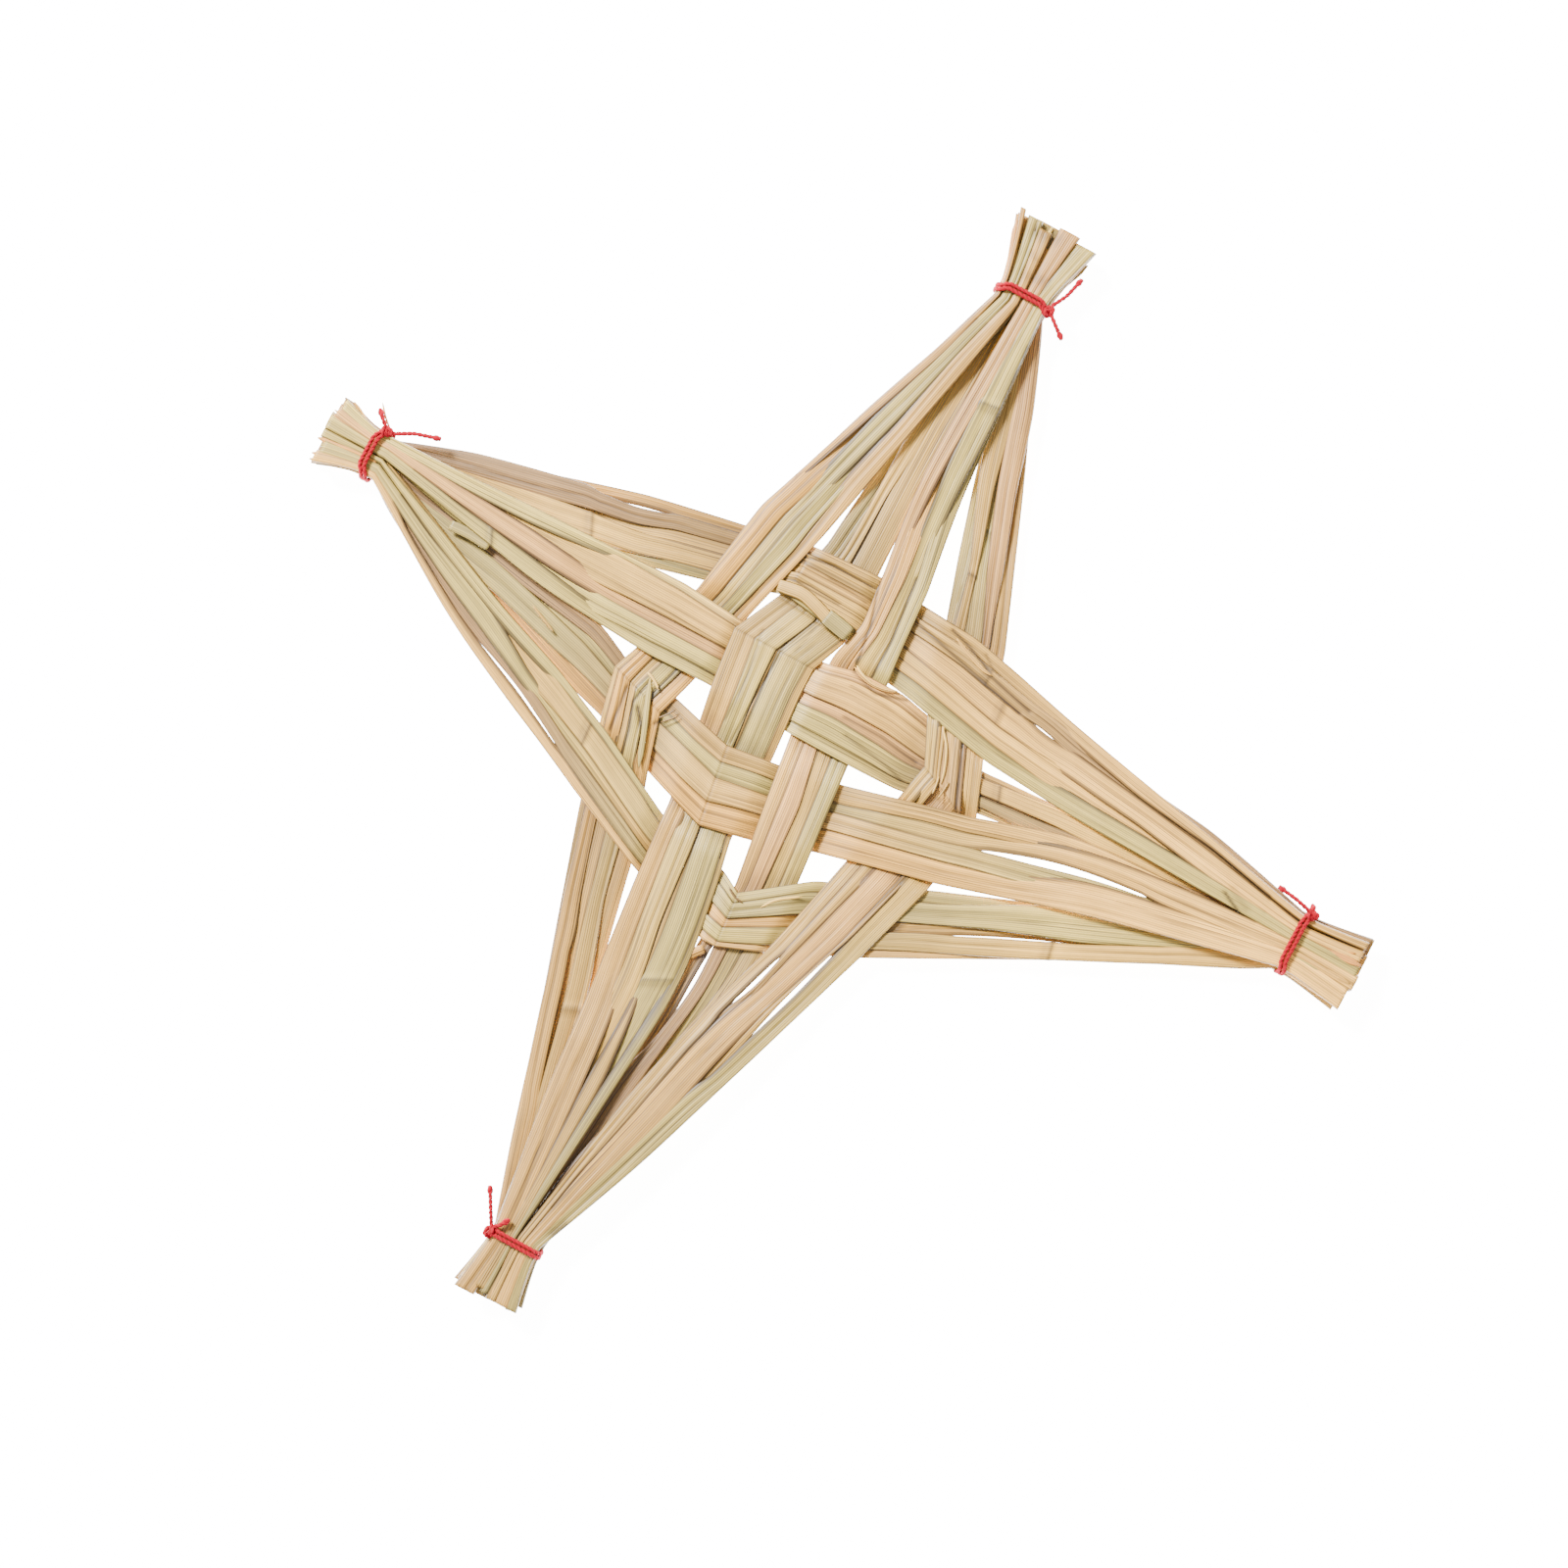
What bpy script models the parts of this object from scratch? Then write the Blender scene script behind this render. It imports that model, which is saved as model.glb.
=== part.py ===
"""Straw cross: flattened straws plaited four bands over four, each arm tied with red thread.

Every straw and every thread tie is its own closed solid. The sizes are in metres; +Y points along
the short arm a, +X along arm d, +Z up, and the origin is the bottom centre of the whole cross.
"""
import math
import random

import bmesh
import bpy
from mathutils import Vector

MM = 0.001

# Space kept between pieces that touch on the real cross.
GAP = 0.3 * MM
# A straw pressed flat in the plait, and the same straw squeezed together by the thread.
STRAW_THICK = 0.9 * MM
BUNDLE_THICK = 1.9 * MM
# How far a straw stays level beyond the straws that it crosses, and the least run it has to change
# from under to over.
LEVEL_MARGIN = 0.3 * MM
LEAST_RAMP = 1.6 * MM
# The side edges of a flat straw are drawn in by this share of its thickness.
EDGE_ROUND = 0.4
# Share of an arm, from the plait outwards, in which the straws of a band settle into two rows.
ROW_SPLIT = 0.35
# The tied bundle: how far its outer rows are drawn in, and its wider cut end.
OUTER_ROW_INSET = 1.1 * MM
TUFT_SPREAD = 1.5
TUFT_UNEVEN = 2.6 * MM
# The thread: its radius, the turns round a bundle, the rounded corners of a turn, and the knot
# with the share of its radius by which it stands out from the turns.
THREAD_RADIUS = 0.55 * MM
THREAD_TURNS = 2
THREAD_SIDES = 6
CORNER_RADIUS = 2.8 * MM
CORNER_RUNS = 2
KNOT_RADIUS = 1.5 * MM
KNOT_OUT = 0.8
TURN_PITCH = 2 * THREAD_RADIUS + GAP
TIE_LENGTH = (THREAD_TURNS + 1) * TURN_PITCH
# The step used to look for the places where two bands cross.
SCAN_STEP = 0.25 * MM
# A bend of a band's edge is modelled where it leaves the straight run by more than this, and not
# nearer than this to another section.
BEND_TOLERANCE = 1.8 * MM
NEAR_BEND = 0.25 * MM
SEED = 7

# Arms: which way they run, where the tie sits (along, across), how wide the tied bundle is, how
# far the cut straws reach beyond the tie, the corner of the bundle with the knot (0 is high side
# and up, 1 low side and up), and the ends of the two tails as (along, across, up) from the knot.
ARMS = {
    "a": {"family": "ac", "tie": (119.0, 1.0), "width": 12.6, "tuft": 20.0, "knot": 0,
          "tails": ((10.5, 3.5, 0.5), (-4.5, 6.0, -1.0))},
    "c": {"family": "ac", "tie": (-143.0, 0.0), "width": 12.2, "tuft": 16.0, "knot": 1,
          "tails": ((10.0, -5.0, 0.4), (5.0, 3.0, 0.7))},
    "b": {"family": "bd", "tie": (-120.5, 11.0), "width": 11.2, "tuft": 15.0, "knot": 0,
          "tails": ((12.5, 4.5, 0.2), (-4.0, 4.0, 0.2))},
    "d": {"family": "bd", "tie": (134.0, 11.5), "width": 14.5, "tuft": 18.0, "knot": 0,
          "tails": ((-9.0, 4.0, 0.2), (-5.0, 5.5, -1.5))},
}

# Bands: rows of (along, low edge, high edge) in millimetres through the plait and the arms, the
# shares of the width taken by the straws from the low edge up, and slits that open between two
# straws as (straws below the slit, where it starts, where it is widest, where it ends, share).
BANDS = {
    "ac1": {
        "rows": ((45, -32.5, -15.2), (30, -34.6, -18.6), (22, -35.8, -20.6), (17, -37.0, -25.4),
                 (-1, -42.6, -26.6), (-9, -44.8, -29.0),
                 (-20, -41.6, -27.4), (-28, -39.8, -24.7), (-48, -34.5, -18.8),
                 (-65, -29.5, -14.8)),
        "shares": (0.10, 0.21, 0.22, 0.20, 0.27),
        "slits": ((2, -60, -88, -118, 0.10),),
    },
    "ac2": {
        "rows": ((45, -12.6, 1.2), (41, -13.0, 1.5), (27, -17.4, 2.4), (21.5, -20.1, 1.5),
                 (15, -23.2, -0.8), (3, -22.3, -1.8), (-2, -21.8, -1.9), (-10, -20.6, -0.4),
                 (-20, -19.0, 0.2), (-31, -17.4, 0.1), (-42, -16.4, 2.4), (-51, -15.6, 3.4),
                 (-67, -14.2, 6.1), (-95, -11.6, 4.3)),
        "shares": (0.28, 0.21, 0.09, 0.33, 0.09),
        "slits": (),
    },
    "ac3": {
        "rows": ((68, -0.8, 10.9), (45, 2.4, 14.2), (30, 3.8, 15.2), (21, 1.4, 16.0),
                 (3, 1.0, 16.6), (-1, 0.7, 16.9), (-10, 2.2, 17.6), (-20, 3.5, 18.7),
                 (-32, 5.5, 19.6), (-45, 6.0, 18.2), (-53, 5.0, 19.0), (-67, 4.6, 20.0)),
        "shares": (0.27, 0.16, 0.29, 0.28),
        "slits": ((1, -50, -68, -92, 0.08),),
    },
    "ac4": {
        "rows": ((84, 8.6, 21.0), (41.4, 21.4, 38.0), (19, 27.5, 44.5), (6, 33.0, 49.4),
                 (0, 31.6, 51.2), (-20, 28.0, 48.0), (-32, 25.0, 45.0), (-45, 22.0, 40.6),
                 (-50, 21.0, 39.0), (-74, 14.0, 31.0), (-97, 8.0, 23.0), (-116, 4.5, 16.6)),
        "shares": (0.20, 0.08, 0.34, 0.09, 0.29),
        "slits": ((1, -44, -60, -76, 0.06), (4, -38, -64, -94, 0.08)),
    },
    "bd1": {
        "rows": ((-60, 16.5, 33.6), (-34.5, 22.0, 38.3), (-22, 26.2, 40.8), (-16, 28.0, 41.8),
                 (3.5, 25.0, 43.0), (15, 21.2, 41.8), (28, 19.8, 40.6), (36, 17.6, 40.0),
                 (47, 15.2, 37.0), (62, 13.9, 33.7), (73, 12.9, 30.6)),
        "shares": (0.22, 0.20, 0.24, 0.16, 0.18),
        "slits": ((4, -40, -56, -74, 0.12), (2, 50, 57, 66, 0.08)),
    },
    "bd2": {
        "rows": ((-75, 2.5, 18.0), (-39, -0.7, 19.0), (-22.5, -0.3, 17.5), (0.5, -1.4, 17.9),
                 (9, -1.5, 19.6), (21, -1.4, 19.8), (29, -1.2, 17.8), (48, 2.8, 12.0)),
        "shares": (0.17, 0.18, 0.17, 0.35, 0.13),
        "slits": (),
    },
    "bd3": {
        "rows": ((-76, -9.0, 1.0), (-55, -15.4, -0.8), (-45, -18.5, -3.4), (-39, -19.6, -4.7), (-25, -25.8, -6.3), (-9, -32.0, -10.0),
                 (1, -30.7, -9.4), (20, -24.0, -6.0), (35, -20.0, -3.2), (50, -17.0, 0.5),
                 (60, -14.0, 4.5), (75, -9.6, 9.2)),
        "shares": (0.32, 0.25, 0.22, 0.21),
        "slits": ((2, 50, 74, 104, 0.10),),
    },
    "bd4": {
        "rows": ((-85, -16.5, -4.4), (-72, -22.4, -8.6), (-53, -31.7, -15.8), (-39, -38.7, -22.6),
                 (-25, -45.4, -31.6), (-17, -48.6, -34.6), (2.5, -55.3, -38.8), (7.8, -56.0, -41.8),
                 (23, -50.6, -30.9), (42, -42.0, -22.5), (49, -39.0, -20.0), (86, -18.8, -5.2)),
        "shares": (0.15, 0.20, 0.22, 0.27, 0.16),
        "slits": ((1, -44, -66, -96, 0.14), (2, 50, 82, 116, 0.08)),
    },
}

STRAW_TONES = {"straw_tan": (0.72, 0.52, 0.32), "straw_peach": (0.80, 0.58, 0.42),
               "straw_green": (0.62, 0.58, 0.38), "straw_brown": (0.50, 0.33, 0.19)}
THREAD_COLOUR = (0.70, 0.05, 0.07)

FAMILIES = {"ac": ("ac1", "ac2", "ac3", "ac4"), "bd": ("bd1", "bd2", "bd3", "bd4")}
# Height of the middle of the plait: the thread under a tied bundle touches the ground.
HALF_BUNDLE = GAP / 2 + 2 * BUNDLE_THICK + GAP
MIDDLE = HALF_BUNDLE + GAP + 2 * THREAD_RADIUS


def band_over(band, other):
    """Tell whether a band lies on top of the band of the other family that it crosses."""
    odd = (int(band[2]) + int(other[2])) % 2 == 1
    return odd == band.startswith("bd")


def family_arms(family):
    """Return the arm at the high end and the arm at the low end of a family."""
    names = [name for name in ARMS if ARMS[name]["family"] == family]
    names.sort(key=lambda name: -ARMS[name]["tie"][0])
    return names


def arm_side(arm):
    """Return +1 for an arm at the high end of its family, -1 for one at the low end."""
    return math.copysign(1.0, ARMS[arm]["tie"][0])


def arm_upper(band, arm):
    """Tell whether a band leaves the plait in the upper layer on the way to an arm."""
    others = FAMILIES["bd" if band.startswith("ac") else "ac"]
    if band.startswith("ac"):
        last = others[0] if arm_side(arm) > 0 else others[-1]
    else:
        last = others[-1] if arm_side(arm) > 0 else others[0]
    return band_over(band, last)


def tie_face(arm):
    """Return where the thread turns of an arm begin on the side of the plait."""
    return ARMS[arm]["tie"][0] * MM - arm_side(arm) * TIE_LENGTH / 2


def bundle_half(band, arm):
    """Return the low and high edge of the half of the tied bundle that a band fills."""
    centre = ARMS[arm]["tie"][1] * MM
    names = FAMILIES[band[:2]]
    low_half = names.index(band) < len(names) / 2
    if band.startswith("bd"):
        low_half = not low_half
    half = ARMS[arm]["width"] * MM / 2
    if low_half:
        return centre - half, centre
    return centre, centre + half


def band_rows(band):
    """Return the rows of a band in metres, with the ties added, from low to high."""
    rows = [(along * MM, low * MM, high * MM) for along, low, high in BANDS[band]["rows"]]
    for arm in family_arms(band[:2]):
        rows.append((tie_face(arm), *bundle_half(band, arm)))
    return sorted(rows)


def band_edges(rows, along):
    """Return the low and high edge of a band at a place along it."""
    if along <= rows[0][0]:
        return rows[0][1], rows[0][2]
    for first, second in zip(rows, rows[1:]):
        if along <= second[0]:
            part = (along - first[0]) / (second[0] - first[0])
            return (first[1] + (second[1] - first[1]) * part,
                    first[2] + (second[2] - first[2]) * part)
    return rows[-1][1], rows[-1][2]


def slit_share(slit, along):
    """Return the share of a band's width that a slit takes at a place along it."""
    start, peak, end = (value * MM for value in slit[1:4])
    low, high = min(start, end), max(start, end)
    if along <= low or along >= high:
        return 0.0
    near = low if along < peak else high
    return slit[4] * (along - near) / (peak - near)


def flat_lane(band, rows, index, along):
    """Return the edges of one straw where the straws of its band lie side by side."""
    low, high = band_edges(rows, along)
    shares = BANDS[band]["shares"]
    opened = [(slit[0], slit_share(slit, along)) for slit in BANDS[band]["slits"]]
    closed = 1.0 - sum(share for _, share in opened)
    before = sum(shares[:index]) * closed + sum(share for at, share in opened if at <= index)
    width = high - low
    return (low + width * before + GAP / 2,
            low + width * (before + shares[index] * closed) - GAP / 2)


def row_lane(band, rows, index, along, outer_side):
    """Return the edges of one straw where its band is stacked in two rows."""
    low, high = band_edges(rows, along)
    if index % 2 == 0:
        if outer_side < 0:
            low += OUTER_ROW_INSET
        else:
            high -= OUTER_ROW_INSET
    shares = BANDS[band]["shares"]
    row = [place for place in range(len(shares)) if place % 2 == index % 2]
    total = sum(shares[place] for place in row)
    before = sum(shares[place] for place in row if place < index) / total
    width = high - low
    return (low + width * before + GAP / 2,
            low + width * (before + shares[index] / total) - GAP / 2)


def crossing_span(band, rows, index, other):
    """Return the first and last place where a straw lies over or under another band."""
    others = band_rows(other)
    found = []
    steps = int((rows[-1][0] - rows[0][0]) / SCAN_STEP)
    for step in range(steps):
        along = rows[0][0] + step * SCAN_STEP
        low, high = flat_lane(band, rows, index, along)
        for part in (0.0, 0.25, 0.5, 0.75, 1.0):
            across = low - GAP + (high - low + 2 * GAP) * part
            edge_low, edge_high = band_edges(others, across)
            if edge_low - LEVEL_MARGIN <= along <= edge_high + LEVEL_MARGIN:
                found.append(along)
                break
    return min(found), max(found)


def band_bends(rows):
    """Return the places where an edge of a band bends away from the line past its neighbours."""
    bends = []
    for before, row, after in zip(rows, rows[1:], rows[2:]):
        part = (row[0] - before[0]) / (after[0] - before[0])
        offs = [row[side] - before[side] - (after[side] - before[side]) * part for side in (1, 2)]
        if max(abs(off) for off in offs) > BEND_TOLERANCE:
            bends.append(row[0])
    return bends


def with_bends(rows, places):
    """Add the bends of a band that lie between the given places, where none is near."""
    low, high = min(places), max(places)
    bends = [bend for bend in band_bends(rows) if low < bend < high
             and min(abs(bend - spot) for spot in places) > NEAR_BEND]
    return sorted(set(places + bends))


def level_at(levels, along):
    """Return the level of a straw, from -1 under to +1 over, at a place in the plait."""
    for first, second in zip(levels, levels[1:]):
        if first[0] <= along <= second[0]:
            part = (along - first[0]) / max(second[0] - first[0], GAP)
            return first[1] + (second[1] - first[1]) * min(part, 1.0)
    return levels[-1][1]


def straw_sections(band, rows, index, spans, edges, ends):
    """Return the sections (along, low, high, bottom, top) of one straw from end to end."""
    sections = []
    high_arm, low_arm = family_arms(band[:2])
    for arm in (low_arm, high_arm):
        side = arm_side(arm)
        start, stop = edges[arm], tie_face(arm)
        upper = 1.0 if arm_upper(band, arm) else -1.0
        centre = ARMS[arm]["tie"][1] * MM
        outer_side = -1.0 if bundle_half(band, arm)[0] < centre - GAP else 1.0
        split = start + (stop - start) * ROW_SPLIT
        places = [split, stop]
        places += [slit[2] * MM for slit in BANDS[band]["slits"] if slit[2] * MM * side > start * side]
        places = with_bends(rows, places + [start])
        places.remove(start)
        fan = []
        for along in places:
            part = (along - start) / (stop - start)
            raised = min(part / ROW_SPLIT, 1.0)
            settled = max(0.0, (part - ROW_SPLIT) / (1.0 - ROW_SPLIT))
            flat = flat_lane(band, rows, index, along)
            stacked = row_lane(band, rows, index, along, outer_side)
            low = flat[0] + (stacked[0] - flat[0]) * settled
            high = flat[1] + (stacked[1] - flat[1]) * settled
            thick = STRAW_THICK + (BUNDLE_THICK - STRAW_THICK) * settled
            bottom = GAP / 2
            if index % 2 == 0:
                bottom += (thick + GAP) * raised
            fan.append((along, low, high, bottom * upper, (bottom + thick) * upper))
        near = fan[-1] if side > 0 else fan[0]
        outer = ARMS[arm]["tie"][0] * MM + side * TIE_LENGTH / 2
        tuft = [(outer, *near[1:])]
        reach = ends[arm]
        wide = 1.0 + (TUFT_SPREAD - 1.0) * (reach - outer) * side / (ARMS[arm]["tuft"] * MM)
        tuft.append((reach, centre + (near[1] - centre) * wide, centre + (near[2] - centre) * wide,
                     near[3], near[4]))
        sections += fan + tuft
    levels = []
    for other in FAMILIES["bd" if band.startswith("ac") else "ac"]:
        level = 1.0 if band_over(band, other) else -1.0
        levels.append([*spans[other], level])
    levels.sort()
    for first, second in zip(levels, levels[1:]):
        short = LEAST_RAMP - (second[0] - first[1])
        if short > 0:
            first[1] -= short / 2
            second[0] += short / 2
    levels = [(along, level) for low, high, level in levels for along in (low, high)]
    for along in with_bends(rows, [spot[0] for spot in levels]):
        level = level_at(levels, along)
        low, high = flat_lane(band, rows, index, along)
        middle = (GAP + STRAW_THICK) / 2 * level
        sections.append((along, low, high, middle - STRAW_THICK / 2, middle + STRAW_THICK / 2))
    return sorted(sections)


def section_points(section, family):
    """Return the six corners of a straw's section as a ring in space."""
    along, low, high, near, far = section
    bottom, top = MIDDLE + min(near, far), MIDDLE + max(near, far)
    draw = min((top - bottom) * EDGE_ROUND, (high - low) / 3)
    ring = ((low, (bottom + top) / 2), (low + draw, bottom), (high - draw, bottom),
            (high, (bottom + top) / 2), (high - draw, top), (low + draw, top))
    if family == "ac":
        return [Vector((across, along, up)) for across, up in ring]
    return [Vector((along, across, up)) for across, up in ring]


def loft(name, rings, collection):
    """Make one closed solid by extruding the first section through all the others."""
    shape = bmesh.new()
    end = shape.faces.new([shape.verts.new(point) for point in rings[0]])
    for number, ring in enumerate(rings[1:]):
        made = bmesh.ops.extrude_face_region(shape, geom=[end])
        if number > 0:
            bmesh.ops.delete(shape, geom=[end], context="FACES_ONLY")
        end = next(item for item in made["geom"] if isinstance(item, bmesh.types.BMFace))
        for vert, point in zip(end.verts, ring):
            vert.co = point
    bmesh.ops.recalc_face_normals(shape, faces=shape.faces)
    mesh = bpy.data.meshes.new(name)
    shape.to_mesh(mesh)
    shape.free()
    solid = bpy.data.objects.new(name, mesh)
    collection.objects.link(solid)
    return solid


def wrap_point(arm, corner, degrees, extra=0.0):
    """Return (across, up) of a point round one corner of a tied bundle."""
    clear = GAP + THREAD_RADIUS
    middle_across = ARMS[arm]["width"] * MM / 2 + clear - CORNER_RADIUS
    middle_up = HALF_BUNDLE + clear - CORNER_RADIUS
    # The corner is drawn with straight runs, so its points stand a little further out.
    radius = CORNER_RADIUS / math.cos(math.radians(90.0 / CORNER_RUNS / 2)) + extra
    angle = math.radians(90.0 * corner + degrees)
    diagonal = math.radians(90.0 * corner + 45.0)
    across = math.copysign(middle_across, math.cos(diagonal)) + radius * math.cos(angle)
    up = math.copysign(middle_up, math.sin(diagonal)) + radius * math.sin(angle)
    return ARMS[arm]["tie"][1] * MM + across, MIDDLE + up


def place(arm, along, across, up):
    """Return a point in space from its place along and across an arm's family."""
    if ARMS[arm]["family"] == "ac":
        return Vector((across, along, up))
    return Vector((along, across, up))


def tube(points, radius, collection):
    """Make a closed round cord along a line of points."""
    curve = bpy.data.curves.new("cord_line", "CURVE")
    curve.dimensions = "3D"
    curve.bevel_depth = radius
    curve.bevel_resolution = THREAD_SIDES // 2 - 2
    curve.use_fill_caps = True
    line = curve.splines.new("POLY")
    line.points.add(len(points) - 1)
    for spot, point in zip(line.points, points):
        spot.co = (*point, 1.0)
    holder = bpy.data.objects.new("cord_line", curve)
    collection.objects.link(holder)
    bpy.context.view_layer.update()
    mesh = bpy.data.meshes.new_from_object(holder.evaluated_get(bpy.context.evaluated_depsgraph_get()))
    bpy.data.objects.remove(holder)
    shape = bmesh.new()
    shape.from_mesh(mesh)
    bmesh.ops.remove_doubles(shape, verts=shape.verts, dist=0.01 * MM)
    bmesh.ops.recalc_face_normals(shape, faces=shape.faces)
    shape.to_mesh(mesh)
    shape.free()
    solid = bpy.data.objects.new("cord", mesh)
    collection.objects.link(solid)
    return solid


def join_solid(first, second):
    """Unite two solids into the first one and remove the second."""
    bool_step = first.modifiers.new("join", "BOOLEAN")
    bool_step.operation = "UNION"
    bool_step.solver = "EXACT"
    bool_step.object = second
    bpy.context.view_layer.update()
    mesh = bpy.data.meshes.new_from_object(first.evaluated_get(bpy.context.evaluated_depsgraph_get()))
    first.modifiers.clear()
    first.data = mesh
    bpy.data.objects.remove(second)


def make_tie(arm, collection):
    """Wind the thread round a bundle, tie it and leave two short tails."""
    start = ARMS[arm]["knot"]
    centre = ARMS[arm]["tie"][0] * MM
    first = centre - THREAD_TURNS * TURN_PITCH / 2
    ring = [(corner, 90.0 * run / CORNER_RUNS) for corner in range(start, start + 4 * THREAD_TURNS + 1)
            for run in range(CORNER_RUNS + 1)]
    ring = ring[CORNER_RUNS // 2:len(ring) - (CORNER_RUNS + 1) // 2]
    points = []
    for number, (corner, degrees) in enumerate(ring):
        across, up = wrap_point(arm, corner, degrees)
        turn = THREAD_TURNS * number / (len(ring) - 1)
        points.append(place(arm, first + TURN_PITCH * turn, across, up))
    across, up = wrap_point(arm, start, 45.0, KNOT_RADIUS * KNOT_OUT)
    knot = place(arm, centre, across, up)
    solid = tube(points, THREAD_RADIUS, collection)
    solid.name = f"tie_{arm}"
    solid.data.name = solid.name
    ball = bmesh.new()
    bmesh.ops.create_icosphere(ball, subdivisions=1, radius=1.0)
    stretch = place(arm, TURN_PITCH * THREAD_TURNS / 2 + THREAD_RADIUS, KNOT_RADIUS, KNOT_RADIUS)
    for vert in ball.verts:
        vert.co = knot + Vector(part * size for part, size in zip(vert.co, stretch))
    mesh = bpy.data.meshes.new("knot")
    ball.to_mesh(mesh)
    ball.free()
    lump = bpy.data.objects.new("knot", mesh)
    collection.objects.link(lump)
    join_solid(solid, lump)
    for along, sideways, rise in ARMS[arm]["tails"]:
        tip = knot + place(arm, along * MM, sideways * MM, rise * MM)
        bend = knot.lerp(tip, 0.5) + Vector((0.0, 0.0, THREAD_RADIUS))
        join_solid(solid, tube([knot, bend, tip], THREAD_RADIUS, collection))
    return solid


def material(name, colour, roughness):
    """Make one plain material."""
    made = bpy.data.materials.new(name)
    made.use_nodes = True
    shader = made.node_tree.nodes["Principled BSDF"]
    shader.inputs["Base Color"].default_value = (*colour, 1.0)
    shader.inputs["Roughness"].default_value = roughness
    return made


def build():
    """Build every straw and tie, then set the origin at the bottom centre of the cross."""
    for item in list(bpy.data.objects):
        bpy.data.objects.remove(item)
    collection = bpy.data.collections.new("straw_cross")
    bpy.context.scene.collection.children.link(collection)
    rng = random.Random(SEED)
    tones = [material(name, colour, 0.6) for name, colour in STRAW_TONES.items()]
    thread = material("red_thread", THREAD_COLOUR, 0.8)
    solids = []
    for band in BANDS:
        rows = band_rows(band)
        family = band[:2]
        others = FAMILIES["bd" if family == "ac" else "ac"]
        count = len(BANDS[band]["shares"])
        spans = [{other: crossing_span(band, rows, index, other) for other in others}
                 for index in range(count)]
        places = [value for span in spans for pair in span.values() for value in pair]
        high_arm, low_arm = family_arms(family)
        edges = {high_arm: max(places), low_arm: min(places)}
        for index in range(count):
            ends = {}
            for arm in (high_arm, low_arm):
                tie = ARMS[arm]["tie"][0] * MM
                reach = ARMS[arm]["tuft"] * MM - rng.random() * TUFT_UNEVEN
                ends[arm] = tie + arm_side(arm) * reach
            sections = straw_sections(band, rows, index, spans[index], edges, ends)
            rings = [section_points(section, family) for section in sections]
            solid = loft(f"straw_{band}_{index + 1}", rings, collection)
            solid.data.materials.append(tones[rng.randrange(len(tones))])
            solids.append(solid)
    for arm in ARMS:
        solid = make_tie(arm, collection)
        solid.data.materials.clear()
        solid.data.materials.append(thread)
        solids.append(solid)
    corners = [vert.co for solid in solids for vert in solid.data.vertices]
    middle = Vector(((min(c.x for c in corners) + max(c.x for c in corners)) / 2,
                     (min(c.y for c in corners) + max(c.y for c in corners)) / 2,
                     min(c.z for c in corners)))
    for solid in solids:
        for vert in solid.data.vertices:
            vert.co -= middle
    return solids


build()
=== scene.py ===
# %% [markdown]
# # A straw cross, plaited and tied
# The object is a flat cross of pressed straws. Four bands run one way and four bands run the
# other way, and they pass over and under each other like cloth. Each arm is gathered and tied
# with two turns of red cotton thread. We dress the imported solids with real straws, one by one.

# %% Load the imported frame
import math

import bmesh
import bpy
import numpy as np
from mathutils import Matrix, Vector


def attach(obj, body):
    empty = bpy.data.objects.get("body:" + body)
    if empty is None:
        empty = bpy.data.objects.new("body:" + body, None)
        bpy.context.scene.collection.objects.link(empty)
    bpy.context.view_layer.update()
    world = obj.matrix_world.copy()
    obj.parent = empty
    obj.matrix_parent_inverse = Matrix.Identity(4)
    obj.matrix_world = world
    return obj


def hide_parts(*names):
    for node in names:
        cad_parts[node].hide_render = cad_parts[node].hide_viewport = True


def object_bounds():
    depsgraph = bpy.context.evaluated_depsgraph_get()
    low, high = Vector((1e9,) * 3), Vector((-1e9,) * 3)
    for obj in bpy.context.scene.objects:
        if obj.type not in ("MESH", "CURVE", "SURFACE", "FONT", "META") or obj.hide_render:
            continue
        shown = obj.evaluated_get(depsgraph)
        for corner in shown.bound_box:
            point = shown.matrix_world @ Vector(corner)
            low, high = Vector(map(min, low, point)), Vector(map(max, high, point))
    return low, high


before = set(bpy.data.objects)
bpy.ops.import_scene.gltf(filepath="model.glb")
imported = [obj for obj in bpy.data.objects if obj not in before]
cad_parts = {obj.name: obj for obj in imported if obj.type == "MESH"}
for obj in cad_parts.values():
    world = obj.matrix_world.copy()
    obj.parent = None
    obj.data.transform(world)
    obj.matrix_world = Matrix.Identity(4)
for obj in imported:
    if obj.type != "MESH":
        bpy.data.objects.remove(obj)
cad_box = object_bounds()
print("nodes in the frame:", len(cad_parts))

# %% [markdown]
# All sizes below are written in millimetres, as a straw plaiter would measure them, and turned to
# metres at the end. The plait has its own centre, which lies beside the middle of the whole cross
# because arms c and d are longer than a and b.

# %% Units and the centre of the plait
MM = 0.001
PLAIT_CENTRE = np.array((-8.32, 9.89, 5.87))


def linear(hex_colour):
    """Turn an sRGB hex colour to the linear values that Blender's shaders use."""
    parts = [int(hex_colour[place:place + 2], 16) / 255 for place in (1, 3, 5)]
    return [part / 12.92 if part <= 0.04045 else ((part + 0.055) / 1.055) ** 2.4 for part in parts]


print("plait centre in mm:", PLAIT_CENTRE)

# %% [markdown]
# ## The view
# The cross lies on its tied ends and the camera looks straight down on it, rolled so that the
# arms lean as they do in the photograph. One pixel of the square photograph is 0.24 mm of straw.

# %% Camera
MM_PER_PIXEL = 0.24
PHOTO_PIXELS = 1600
ROLL = math.radians(28.1)
PLAIT_PIXEL = (806, 742)
LENS_MM = 85.0
SENSOR_MM = 36.0


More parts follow.
